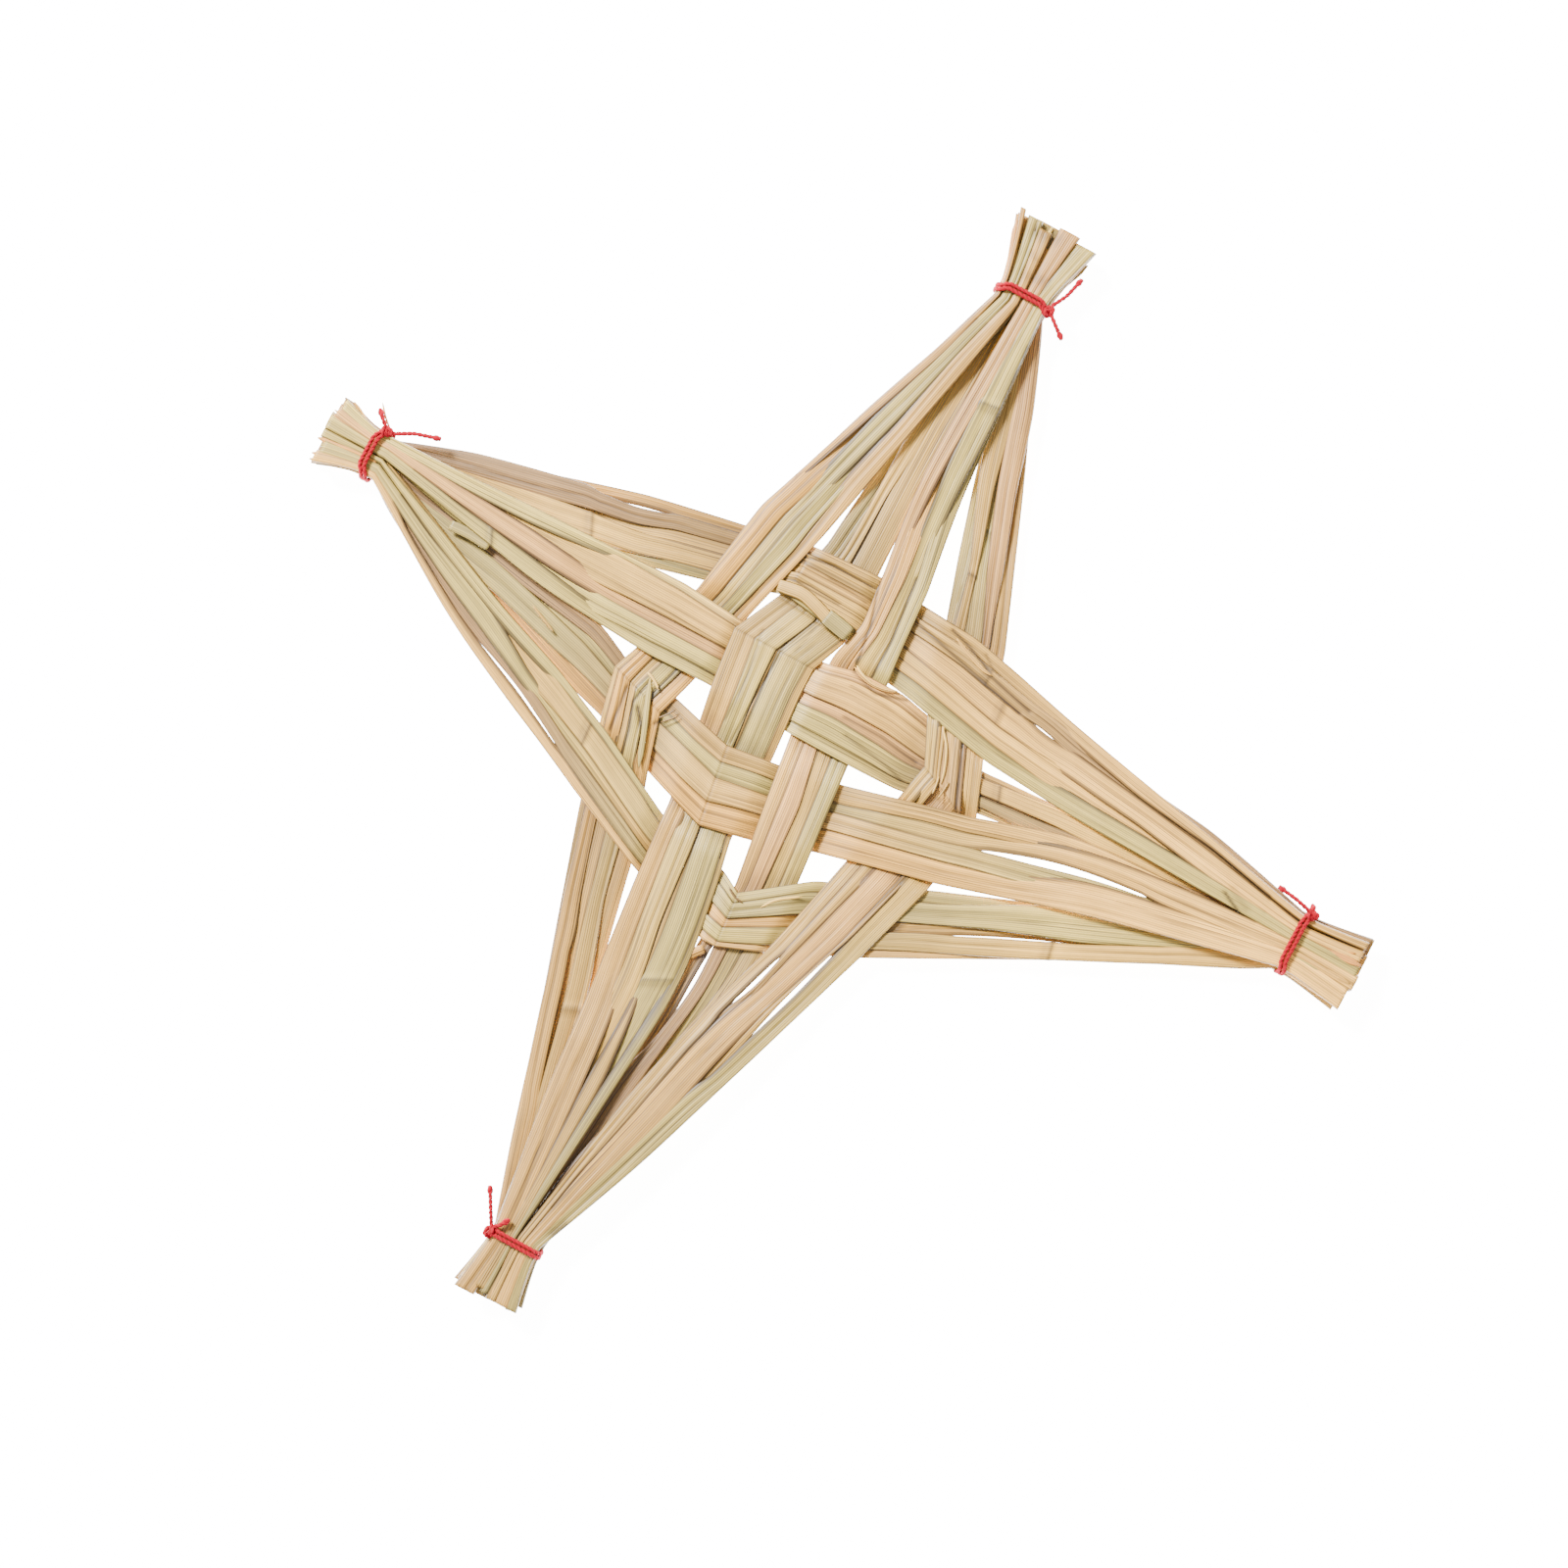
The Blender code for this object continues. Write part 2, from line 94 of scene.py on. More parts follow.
def pixel_to_plait(across, down):
    """Turn a place in the photograph to millimetres from the centre of the plait."""
    right = (across - PLAIT_PIXEL[0]) * MM_PER_PIXEL
    up = (PLAIT_PIXEL[1] - down) * MM_PER_PIXEL
    plait_x = right * math.cos(ROLL) - up * math.sin(ROLL)
    plait_y = right * math.sin(ROLL) + up * math.cos(ROLL)
    return plait_x, plait_y


view_width = PHOTO_PIXELS * MM_PER_PIXEL
aim = pixel_to_plait(PHOTO_PIXELS / 2, PHOTO_PIXELS / 2)
camera_data = bpy.data.cameras.new("camera")
camera_data.lens = LENS_MM
camera_data.sensor_width = SENSOR_MM
camera = bpy.data.objects.new("camera", camera_data)
bpy.context.scene.collection.objects.link(camera)
camera_height = view_width * LENS_MM / SENSOR_MM
camera.location = ((aim[0] + PLAIT_CENTRE[0]) * MM, (aim[1] + PLAIT_CENTRE[1]) * MM,
                   (camera_height + PLAIT_CENTRE[2]) * MM)
camera.rotation_euler = (0.0, 0.0, ROLL)
bpy.context.scene.camera = camera
print("camera height in mm:", round(camera_height))

# %% [markdown]
# ## Node trees
# Every material here is built from nodes. One small function adds a node, sets its values and
# links its inputs, so that each material reads as a short list.

# %% A helper that adds one node


def add(tree, kind, links=None, values=None, **settings):
    """Add a node with settings, input values and links from other nodes' outputs."""
    node = tree.nodes.new(kind)
    for name, value in settings.items():
        setattr(node, name, value)
    for name, value in (values or {}).items():
        node.inputs[name].default_value = value
    for name, source in (links or {}).items():
        tree.links.new(source, node.inputs[name])
    return node


def new_material(name):
    """Start a material with an empty shader tree and return it with its Principled shader."""
    made = bpy.data.materials.new(name)
    made.use_nodes = True
    return made, made.node_tree, made.node_tree.nodes["Principled BSDF"]


# %% [markdown]
# ## Pressed straw
# Ripened wheat straw is a glossy tube of parallel fibres. Pressed flat it shows fine ribs along
# its length, and each straw has its own tone, from pale peach to grey green. The tone is painted
# on the mesh straw by straw, together with painted light and shade. The ribs and streaks are drawn
# in the straw's own UV map, which is laid out in centimetres: across the straw, then along it.

# %% Straw material
CM = 10.0
RIB_MM = 0.53         # from one rib to the next
STREAK_MM = 1.4       # width of a light or dark streak
FIBRE_GAP_MM = 0.45   # width of the rare dark lines where a fibre has parted
MOTTLE_MM = 6.0       # width of the large faint patches
RIB_SHADES = (0.66, 1.15)      # how dark and how bright each pattern makes the straw
STREAK_SHADES = (0.68, 1.22)
MOTTLE_SHADES = (0.88, 1.10)
GAP_SHADES = (1.0, 0.40)
SMOOTH_TO_DULL = (0.42, 0.60)  # roughness from a dark streak to a bright one
WAVE_PERIOD = math.pi / 10.0   # Blender's wave bands lie this far apart at a scale of 1


def straw_noise(tree, uv, width_mm, stretch, shift, detail):
    """Add noise that is drawn out along the straw and has a given width across it."""
    mapping = add(tree, "ShaderNodeMapping", {"Vector": uv},
                  {"Scale": (CM / width_mm, stretch, 1.0), "Location": (shift, shift, 0.0)})
    return add(tree, "ShaderNodeTexNoise", {"Vector": mapping.outputs["Vector"]},
               {"Scale": 1.0, "Detail": detail, "Roughness": 0.6}).outputs["Fac"]


def remap(tree, value, low, high, to_low, to_high):
    """Map a value from one range to another, clamped."""
    node = add(tree, "ShaderNodeMapRange", {"Value": value},
               {"From Min": low, "From Max": high, "To Min": to_low, "To Max": to_high})
    return node.outputs["Result"]


def times(tree, first, second):
    """Multiply two values."""
    return add(tree, "ShaderNodeMath", {0: first, 1: second}, operation="MULTIPLY").outputs["Value"]


def straw_material():
    """Build the finish of pressed straw, tinted by the mesh's tone with its painted light and shade."""
    made, tree, shader = new_material("pressed_wheat_straw")
    tone = add(tree, "ShaderNodeAttribute", attribute_name="tone")
    uv = add(tree, "ShaderNodeUVMap", uv_map="along").outputs["UV"]
    flat = add(tree, "ShaderNodeMapping", {"Vector": uv}, {"Scale": (1.0, 0.03, 1.0)})
    ribs = add(tree, "ShaderNodeTexWave", {"Vector": flat.outputs["Vector"]},
               {"Scale": WAVE_PERIOD * CM / RIB_MM, "Distortion": 0.8, "Detail": 1.0,
                "Detail Scale": 1.0}).outputs["Fac"]
    streaks = straw_noise(tree, uv, STREAK_MM, stretch=0.10, shift=3.0, detail=3.0)
    parted = straw_noise(tree, uv, FIBRE_GAP_MM, stretch=0.16, shift=9.0, detail=1.0)
    mottle = straw_noise(tree, uv, MOTTLE_MM, stretch=0.9, shift=5.0, detail=5.0)
    rib_shade = remap(tree, ribs, 0.0, 1.0, *RIB_SHADES)
    shade = times(tree, rib_shade, remap(tree, streaks, 0.32, 0.68, *STREAK_SHADES))
    shade = times(tree, shade, remap(tree, parted, 0.58, 0.69, *GAP_SHADES))
    shade = times(tree, shade, remap(tree, mottle, 0.3, 0.7, *MOTTLE_SHADES))
    tinted = add(tree, "ShaderNodeVectorMath", {0: tone.outputs["Color"], "Scale": shade},
                 operation="SCALE")
    relief = add(tree, "ShaderNodeBump", {"Height": ribs}, {"Strength": 0.5, "Distance": 0.08 * MM})
    grooves = add(tree, "ShaderNodeBump", {"Height": streaks, "Normal": relief.outputs["Normal"]},
                  {"Strength": 0.6, "Distance": 0.3 * MM})
    gloss = remap(tree, streaks, 0.3, 0.7, *SMOOTH_TO_DULL)
    tree.links.new(tinted.outputs["Vector"], shader.inputs["Base Color"])
    tree.links.new(gloss, shader.inputs["Roughness"])
    tree.links.new(grooves.outputs["Normal"], shader.inputs["Normal"])
    shader.inputs["IOR"].default_value = 1.5
    return made


STRAW = straw_material()
print("made material:", STRAW.name)

# %% [markdown]
# ## Red cotton thread
# The ties are soft two-ply cotton, dyed red. Cotton is matt, with a faint fuzz that catches the
# light, so it gets a high roughness and a little sheen, and fibres that run along each ply.

# %% Thread material
FIBRE_MM = 0.25       # width of a fibre, drawn coarser than cotton so that it shows
FIBRES_PER_CM = 4.0   # how often a fibre changes along the thread


def thread_material():
    """Build the finish of matt red cotton."""
    made, tree, shader = new_material("red_cotton_thread")
    uv = add(tree, "ShaderNodeUVMap", uv_map="along")
    turned = add(tree, "ShaderNodeMapping", {"Vector": uv.outputs["UV"]},
                 {"Scale": (CM / FIBRE_MM, FIBRES_PER_CM, 1.0)})
    fibres = add(tree, "ShaderNodeTexNoise", {"Vector": turned.outputs["Vector"]},
                 {"Scale": 1.0, "Detail": 2.0})
    dark, bright = linear("#800010"), linear("#AA0020")
    colour = add(tree, "ShaderNodeMix", {"Factor": fibres.outputs["Fac"]}, data_type="RGBA")
    colour.inputs[6].default_value = (*dark, 1.0)
    colour.inputs[7].default_value = (*bright, 1.0)
    relief = add(tree, "ShaderNodeBump", {"Height": fibres.outputs["Fac"]},
                 {"Strength": 0.5, "Distance": 0.15 * MM})
    tree.links.new(colour.outputs[2], shader.inputs["Base Color"])
    tree.links.new(relief.outputs["Normal"], shader.inputs["Normal"])
    shader.inputs["Roughness"].default_value = 0.85
    shader.inputs["Sheen Weight"].default_value = 0.02
    shader.inputs["Specular IOR Level"].default_value = 0.15
    return made


THREAD = thread_material()
print("made material:", THREAD.name)

# %% [markdown]
# ## Rolling a grid into a tube
# A straw and a thread are both long tubes whose section changes. We take a flat grid, place its
# rows as rings round the tube, close the seam and fill the two ends. The grid's rows also give
# the UV map: across the straw one way, along it the other.

# %% The tube maker
WELD_MM = 0.0005      # points closer than this become one when the seam is closed


def roll_tube(name, rings, across, along, tones, material, node=None):
    """Roll a grid into a closed tube whose rings, UV places and tones are given."""
    rows, columns = rings.shape[:2]
    shape = bmesh.new()
    bmesh.ops.create_grid(shape, x_segments=columns, y_segments=rows - 1, size=0.5)
    mesh = bpy.data.meshes.new(name)
    shape.to_mesh(mesh)
    shape.free()
    wrapped = np.concatenate([rings, rings[:, :1]], axis=1)
    mesh.vertices.foreach_set("co", (wrapped.reshape(-1, 3) * MM).ravel())
    place = np.empty(len(mesh.loops), dtype=np.int32)
    mesh.loops.foreach_get("vertex_index", place)
    flat = np.stack([across.ravel(), np.repeat(along, columns + 1)], axis=1) / CM
    layer = mesh.uv_layers.new(name="along")
    layer.data.foreach_set("uv", flat[place].astype(np.float32).ravel())
    paint = mesh.color_attributes.new(name="tone", type="FLOAT_COLOR", domain="POINT")
    shades = np.concatenate([tones, tones[:, :1]], axis=1).reshape(-1, 3)
    shades = np.concatenate([shades, np.ones((len(shades), 1))], axis=1)
    paint.data.foreach_set("color", shades.astype(np.float32).ravel())
    shape = bmesh.new()
    shape.from_mesh(mesh)
    bmesh.ops.remove_doubles(shape, verts=shape.verts, dist=WELD_MM * MM)
    open_edges = [edge for edge in shape.edges if edge.is_boundary]
    bmesh.ops.holes_fill(shape, edges=open_edges, sides=0)
    bmesh.ops.recalc_face_normals(shape, faces=shape.faces)
    for face in shape.faces:
        face.smooth = True
    shape.to_mesh(mesh)
    shape.free()
    mesh.materials.append(material)
    piece = bpy.data.objects.new(name, mesh)
    bpy.context.scene.collection.objects.link(piece)
    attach(piece, "root")
    if node:
        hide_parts(node)
    return piece


# %% [markdown]
# ## The ladder of each band
# A band is drawn as a ladder. Each rung joins a point of its low edge to a point of its high
# edge, and the straws run from rung to rung at fixed shares of the width. Rungs can lean, so a
# crease where the whole band turns can run across it at a slant, as it does on the real plait.

# %% Arms, bands and their rungs
THREAD_RADIUS = 0.55
GAP = 0.3             # left between the rows of a bundle, and under the thread
THREAD_TURNS = 2
TURN_PITCH = 2 * THREAD_RADIUS + GAP
TIE_LENGTH = (THREAD_TURNS + 1) * TURN_PITCH

# Where each arm is tied (along, across), how wide the bundle is, how far its cut ends reach
# beyond the tie, how much they spread, and how bright the arm's straws are painted, partly as
# their own tone and partly as painted light and shade.
ARMS = {
    "a": {"family": "ac", "tie": (119.0, 1.0), "width": 12.6, "tuft": 20.0, "spread": 1.8,
          "tone": 0.93},
    "c": {"family": "ac", "tie": (-143.0, 0.0), "width": 12.2, "tuft": 16.0, "spread": 1.45,
          "tone": 0.78},
    "b": {"family": "bd", "tie": (-120.5, 11.0), "width": 11.2, "tuft": 15.0, "spread": 1.8,
          "tone": 1.04},
    "d": {"family": "bd", "tie": (134.0, 11.5), "width": 14.5, "tuft": 18.0, "spread": 1.35,
          "tone": 1.33},
}
FAMILIES = {"ac": ("ac1", "ac2", "ac3", "ac4"), "bd": ("bd1", "bd2", "bd3", "bd4")}
print("arms:", list(ARMS))

# %% Bands
# Rungs are (along, low edge, along, high edge). Shares are the widths of the straws from the low
# edge up, and tones are their colours in the same order, each from its high arm through the plait
# to its low arm. A slit is (straws below it, start, widest place, end, share that it takes).
BANDS = {
    "ac1": {
        "rungs": ((45, -31.7, 45, -14.8), (20, -36, 22, -20.8), (-1, -42.6, -1, -26.4),
                  (-7, -44.8, -12, -29.6), (-28, -39.8, -30, -24.2), (-41, -36.5, -48, -18.4),
                  (-71, -27.5, -65, -14.8)),
        "shares": (0.10, 0.21, 0.22, 0.20, 0.27),
        "tones": ("orange tan tan", "orange orange peach", "green tan peach", "green green tan",
                  "peach orange tan"),
        "slits": ((2, -66, -90, -114, 0.09),),
    },
    "ac2": {
        "rungs": ((44, -13, 44, 1.4), (27, -17.7, 25, 2.4), (15, -23.4, 15.2, -1.4),
                  (2, -22, 8, -1.2), (-9, -20.4, -9, -0.1), (-31, -17.4, -31, 0.1),
                  (-51, -15.9, -42, 2.3), (-77, -13.4, -67, 6.1), (-103, -11.2, -95, 4.3)),
        "shares": (0.28, 0.21, 0.09, 0.33, 0.09),
        "tones": ("grey peach peach", "tan green tan", "brown tan tan", "tan grey green",
                  "tan tan grey"),
        "slits": (),
    },
    "ac3": {
        "rungs": ((68, -0.8, 70, 10.6), (45, 2.4, 45, 14.2), (30, 3.8, 30, 15.2), (21, 1.2, 21, 16.1),
                  (0, 0.8, -0.5, 16.9), (-20, 3.4, -20, 18.7), (-41, 6.4, -35, 20),
                  (-55, 4.8, -51, 20.4), (-70, 4.6, -64, 20.3)),
        "shares": (0.27, 0.16, 0.29, 0.28),
        "tones": ("pink peach brown", "orange pink brown", "green tan grey", "green green tan"),
        "slits": ((1, -50, -68, -92, 0.08),),
    },
    "ac4": {
        "rungs": ((84, 8.6, 84, 21.0), (41, 21.4, 41, 38), (18, 28.2, 18.5, 44.3),
                  (7, 33.6, -2, 52.4), (-20, 28.3, -20, 48.4), (-50, 20.8, -41, 42),
                  (-72, 14, -74, 31), (-95, 8, -97, 23), (-114, 4.5, -116, 16.6)),
        "shares": (0.20, 0.08, 0.34, 0.09, 0.29),
        "tones": ("green tan tan", "tan tan brown", "green pink peach", "pink brown tan",
                  "peach tan green"),
        "slits": ((1, -44, -60, -76, 0.06), (4, -38, -64, -94, 0.08)),
    },
    "bd1": {
        "rungs": ((-52, 17.7, -60, 33.6), (-34.5, 22, -34.5, 38.3), (-16, 28, -16, 41.8),
                  (3.5, 25, 3.5, 43), (15, 21, 15, 41.8), (22, 20, 22, 41.2), (30, 18.2, 30, 40.7),
                  (47, 15, 45, 37.4), (73, 12.9, 62, 33.2)),
        "shares": (0.22, 0.20, 0.24, 0.16, 0.18),
        "tones": ("green green green", "peach tan tan", "peach peach tan", "brown tan brown",
                  "peach tan orange"),
        "slits": ((4, -46, -57, -70, 0.08), (3, 48, 57, 67, 0.022)),
    },
    "bd2": {
        "rungs": ((-70, 1.5, -79, 18), (-39, -0.7, -39, 19), (-22.5, -0.3, -22.5, 17.5),
                  (0.5, -1.4, 0.5, 17.9), (10, -1.5, 9, 20.0), (22, -1.4, 21, 20.2),
                  (30.5, -1.2, 30, 18.3), (51, 2.9, 47, 12.4)),
        "shares": (0.17, 0.18, 0.17, 0.35, 0.13),
        "tones": ("tan green green", "brown green green", "brown pink pink", "tan peach tan",
                  "tan pink green"),
        "slits": (),
    },
    "bd3": {
        "rungs": ((-92, -4.0, -90, 8.2), (-76, -9.0, -70, 4.2), (-56, -15.4, -54, 1.2),
                  (-42, -19.6, -42, -4.6), (-25, -26.2, -28, -6.6), (-8.4, -31.8, -11.4, -11),
                  (8, -28.2, 8, -8.8), (20, -24, 20, -6), (50, -17, 50, 1.4), (84, -7, 75, 9.7)),
        "shares": (0.32, 0.25, 0.22, 0.21),
        "tones": ("peach orange orange", "grey peach grey", "peach green green", "peach tan brown"),
        "slits": ((2, 50, 74, 104, 0.10),),
    },
    "bd4": {
        "rungs": ((-85, -16.5, -74, -7.6), (-53, -31.7, -58, -13.4), (-39, -38.7, -39, -22.0),
                  (-17, -48.6, -17, -33.8), (5, -56, 2.5, -38.8), (9, -56, 7.8, -41.8),
                  (23, -50.6, 23, -30.5), (42, -41.6, 49, -19.4), (89, -17.4, 84, -5.4)),
        "shares": (0.15, 0.20, 0.22, 0.27, 0.16),
        "tones": ("peach peach peach", "tan green brown", "tan orange green", "green grey tan",
                  "green green green"),
        "slits": ((1, -44, -72, -114, 0.16), (2, 50, 82, 116, 0.08)),
    },
}
print("straws:", sum(len(band["shares"]) for band in BANDS.values()))

# %% Nodes and tones
# Nodes of the straws, where a leaf grew: band and straw, and the places along it.
NODES = {
    ("ac1", 0): (-90, ), ("ac1", 3): (-86, ), ("ac3", 0): (-60, ), ("ac3", 2): (92, ),
    ("ac4", 1): (54, ), ("ac4", 2): (65, ), ("bd1", 1): (-66, ), ("bd1", 2): (44, ),
    ("bd1", 3): (37, ), ("bd2", 0): (-86, ), ("bd2", 3): (53, ), ("bd3", 2): (-66, ),
    ("bd3", 3): (116, ), ("bd4", 1): (82, ), ("bd4", 2): (47, ), ("bd4", 3): (-43, ),
    ("bd4", 4): (81, ), ("ac2", 3): (-70, ),
}
PALETTE = {
    "pale": "#E6B85A", "peach": "#DAA349", "tan": "#D0A045", "orange": "#D39739",
    "green": "#BEA34F", "grey": "#B29A50", "pink": "#D49A4E", "brown": "#96703F",
}
SHADOW = 0.20 * np.array(linear("#745438"))   # what the darkest painted shade fades to
print("straws with a node:", len(NODES), "tones:", len(PALETTE))

# %% [markdown]
# ## Following a band
# These functions answer where a straw is at any place along its band. Along the arms the band
# narrows to the tie, where it fills half of the bundle.

# %% Arms and crossings


def family_arms(family):
    """Return the arm at the high end and the arm at the low end of a family."""
    names = [name for name in ARMS if ARMS[name]["family"] == family]
    return sorted(names, key=lambda name: -ARMS[name]["tie"][0])


def arm_side(arm):
    """Return +1 for an arm at the high end of its family, -1 for one at the low end."""
    return math.copysign(1.0, ARMS[arm]["tie"][0])


def tie_face(arm):
    """Return where the thread turns of an arm begin on the side of the plait."""
    return ARMS[arm]["tie"][0] - arm_side(arm) * TIE_LENGTH / 2


def bundle_half(band, arm):
    """Return the low and high edge of the half of the tied bundle that a band fills."""
    centre = ARMS[arm]["tie"][1]
    low_half = FAMILIES[band[:2]].index(band) < 2
    if band.startswith("bd"):
        low_half = not low_half
    half = ARMS[arm]["width"] / 2
    return (centre - half, centre) if low_half else (centre, centre + half)


def band_over(band, other):
    """Tell whether a band lies on top of the band of the other family that it crosses."""
    odd = (int(band[2]) + int(other[2])) % 2 == 1
    return odd == band.startswith("bd")


def others_of(band):
    """Return the bands that a band crosses."""
    return FAMILIES["bd" if band.startswith("ac") else "ac"]


def ladder(band):
    """Return the low and high edge points of a band from its low arm's tie to its high arm's tie."""
    rungs = [tuple(float(value) for value in rung) for rung in BANDS[band]["rungs"]]
    for arm in family_arms(band[:2]):
        low, high = bundle_half(band, arm)
        face = tie_face(arm)
        rungs.append((face, low, face, high))
    rungs.sort()
    low_edge = np.array([(rung[0], rung[1]) for rung in rungs])
    high_edge = np.array([(rung[2], rung[3]) for rung in rungs])
    return low_edge, high_edge


def edge_line(band, side):
    """Return one edge of a band as arrays of places along it and across it."""
    return LADDERS[band][side][:, 0], LADDERS[band][side][:, 1]


print("arms of the bands ac:", family_arms("ac"))

# %% Soft lines


def bump(distance, width):
    """Return a smooth bump that is 1 at no distance and fades over a width."""
    return np.exp(-(distance / width) ** 2)


def soften(values, times):
    """Round the corners of a sampled line a little, keeping its ends."""
    for _ in range(times):
        inner = (values[:-2] + 2 * values[1:-1] + values[2:]) / 4
        values = np.concatenate([values[:1], inner, values[-1:]])
    return values


def smooth(value):
    """Ease a value from 0 to 1 with level ends."""
    value = np.clip(value, 0.0, 1.0)
    return value * value * (3.0 - 2.0 * value)


LADDERS = {band: ladder(band) for band in BANDS}
print("rungs of band ac1:", len(LADDERS["ac1"][0]))

# %% [markdown]
# ## Where a straw runs
# A straw is level while it lies over or under another band, and dives in the short free run
# between two bands. In an arm the odd and even straws of a band part into two rows, so that they
# can close up sideways under the thread.

# %% Slits and rows


def slit_shares(band, along):
    """Return for each slit of a band the straws below it and the share it takes at each place."""
    opened = []
    for below, start, peak, end, share in BANDS[band]["slits"]:
        places = sorted([(start, 0.0), (peak, 1.0), (end, 0.0)])
        bulge = np.interp(along, [spot[0] for spot in places], [spot[1] for spot in places])
        opened.append((below, share * smooth(bulge)))
    return opened


def row_split(band, index):
    """Return the shares that a straw starts and ends at within its own row of a bundle."""
    shares = BANDS[band]["shares"]
    row = [place for place in range(len(shares)) if place % 2 == index % 2]
    total = sum(shares[place] for place in row)
    before = sum(shares[place] for place in row if place < index) / total
    return before, before + shares[index] / total


print("share of a row that straw ac1_1 fills:", np.round(row_split("ac1", 0), 2))

# %% The course of a band
STEP_MM = 0.8                # between two rings of points along a straw
TURN_SOFTNESS = 4            # how often a line is smoothed in the plait, and in the arms
ARM_SOFTNESS = 200
PLAIT_REACH = (44.0, 66.0)   # the plait ends and the loose arms are reached, from its centre
KINK_TURN = 0.22             # a band that turns more than this at a rung (radians) is creased
KINK_MM = 2.5
KINK_RINGS = np.array((-0.45, -0.15, 0.15, 0.45))   # rings close together that draw a crease
KINK_CLEAR = 0.5
FAR_MM = 99.0


def band_course(band):
    """Sample a band from tie to tie: its low and high edge, and how far each place is from a crease."""
    low_edge, high_edge = LADDERS[band]
    spine = (low_edge + high_edge) / 2
    runs = np.diff(spine, axis=0)
    knots = np.concatenate([[0.0], np.cumsum(np.hypot(*runs.T))])
    headings = np.arctan2(runs[:, 1], runs[:, 0])
    inner = [knot for knot, turn in zip(knots[1:], np.diff(headings)) if abs(turn) > KINK_TURN]
    kinks = [knot for knot in inner if knots[1] < knot < knots[-2]]
    spots = np.linspace(0.0, knots[-1], int(knots[-1] / STEP_MM) + 1)
    for kink in kinks:
        spots = spots[np.abs(spots - kink) > KINK_CLEAR]
        spots = np.concatenate([spots, kink + KINK_RINGS])
    spots = np.sort(spots)
    away = np.full(len(spots), FAR_MM)
    for kink in kinks:
        away = np.where(np.abs(spots - kink) < np.abs(away), spots - kink, away)
    sharp = bump(away, KINK_MM)
    from_centre = np.abs(np.interp(spots, knots, spine[:, 0]))
    loose = smooth((from_centre - PLAIT_REACH[0]) / (PLAIT_REACH[1] - PLAIT_REACH[0]))
    edges = []
    for edge in (low_edge, high_edge):
        lines = [np.interp(spots, knots, edge[:, axis]) for axis in (0, 1)]
        lines = [line * sharp + soften(line, TURN_SOFTNESS) * (1.0 - sharp) for line in lines]
        lines = [line * (1.0 - loose) + soften(line, ARM_SOFTNESS) * loose for line in lines]
        edges.append(np.stack(lines, axis=1))
    return edges[0], edges[1], away


print("rings along band ac1:", len(band_course("ac1")[0]))

# %% Over and under
LEVEL_MARGIN = 0.2     # a crossing reaches this far past the edge of the other band (mm)
LEVEL_SOFTNESS = 4


def crossing_level(band, low, high):
    """Return the level of a straw at each place: +1 over, -1 under, eased between the bands."""
    level = np.full(len(low), np.nan)
    middle = (low + high) / 2
    for other in others_of(band):
        edges = [edge_line(other, side) for side in (0, 1)]
        for point in (low, middle, high):
            floor = np.interp(point[:, 1], *edges[0]) - LEVEL_MARGIN
            roof = np.interp(point[:, 1], *edges[1]) + LEVEL_MARGIN
            inside = (point[:, 0] > floor) & (point[:, 0] < roof)
            level[inside] = 1.0 if band_over(band, other) else -1.0
    known = np.flatnonzero(~np.isnan(level))
    places = np.arange(len(level))
    level = np.interp(places, known, level[known])
    return soften(level, LEVEL_SOFTNESS), known[0], known[-1]


level_ac1 = crossing_level("ac1", *band_course("ac1")[:2])[0]
print("band ac1 lies between level", level_ac1.min().round(2), "and", level_ac1.max().round(2))

# %% The course of a straw
STRAW_THICK = 0.60     # pressed flat, in the plait
BUNDLE_THICK = 1.8     # squeezed rounder, under the thread
LEVEL = 0.8            # how far a straw lies above or below the middle of the plait
ROW_SPLIT = 0.35       # the part of an arm in which its two rows come apart
SETTLE_FROM = 0.10     # the part of an arm after which the straws close up
OVERLAP = 0.9          # how far neighbours lap over each other in the plait,
ROW_LAP = 0.5          # in the bundle,
FAN_LAP = 1.1          # and on top of both halfway along an arm
SETTLE_SOFTNESS = 80
OPEN_SHARE = 0.02      # a slit as wide as this share of the band leaves no lap beside it
WANDER_MM = 0.50       # how far the line between two straws strays, and a band's outer edge
EDGE_WANDER_MM = 0.12
WANDER_RINGS = 26      # rings from one turn of such a line to the next
WANDER_SOFTNESS = 12


def wander_line(band, boundary, count):
    """Return how far the line between two straws strays from its share, in millimetres."""
    rng = np.random.default_rng(boundary * 7 + sum(ord(letter) for letter in band))
    edge = boundary in (0, len(BANDS[band]["shares"]))
    knots = rng.normal(0.0, EDGE_WANDER_MM if edge else WANDER_MM, count // WANDER_RINGS + 2)
    places = np.arange(len(knots)) * WANDER_RINGS
    return soften(np.interp(np.arange(count), places, knots), WANDER_SOFTNESS)


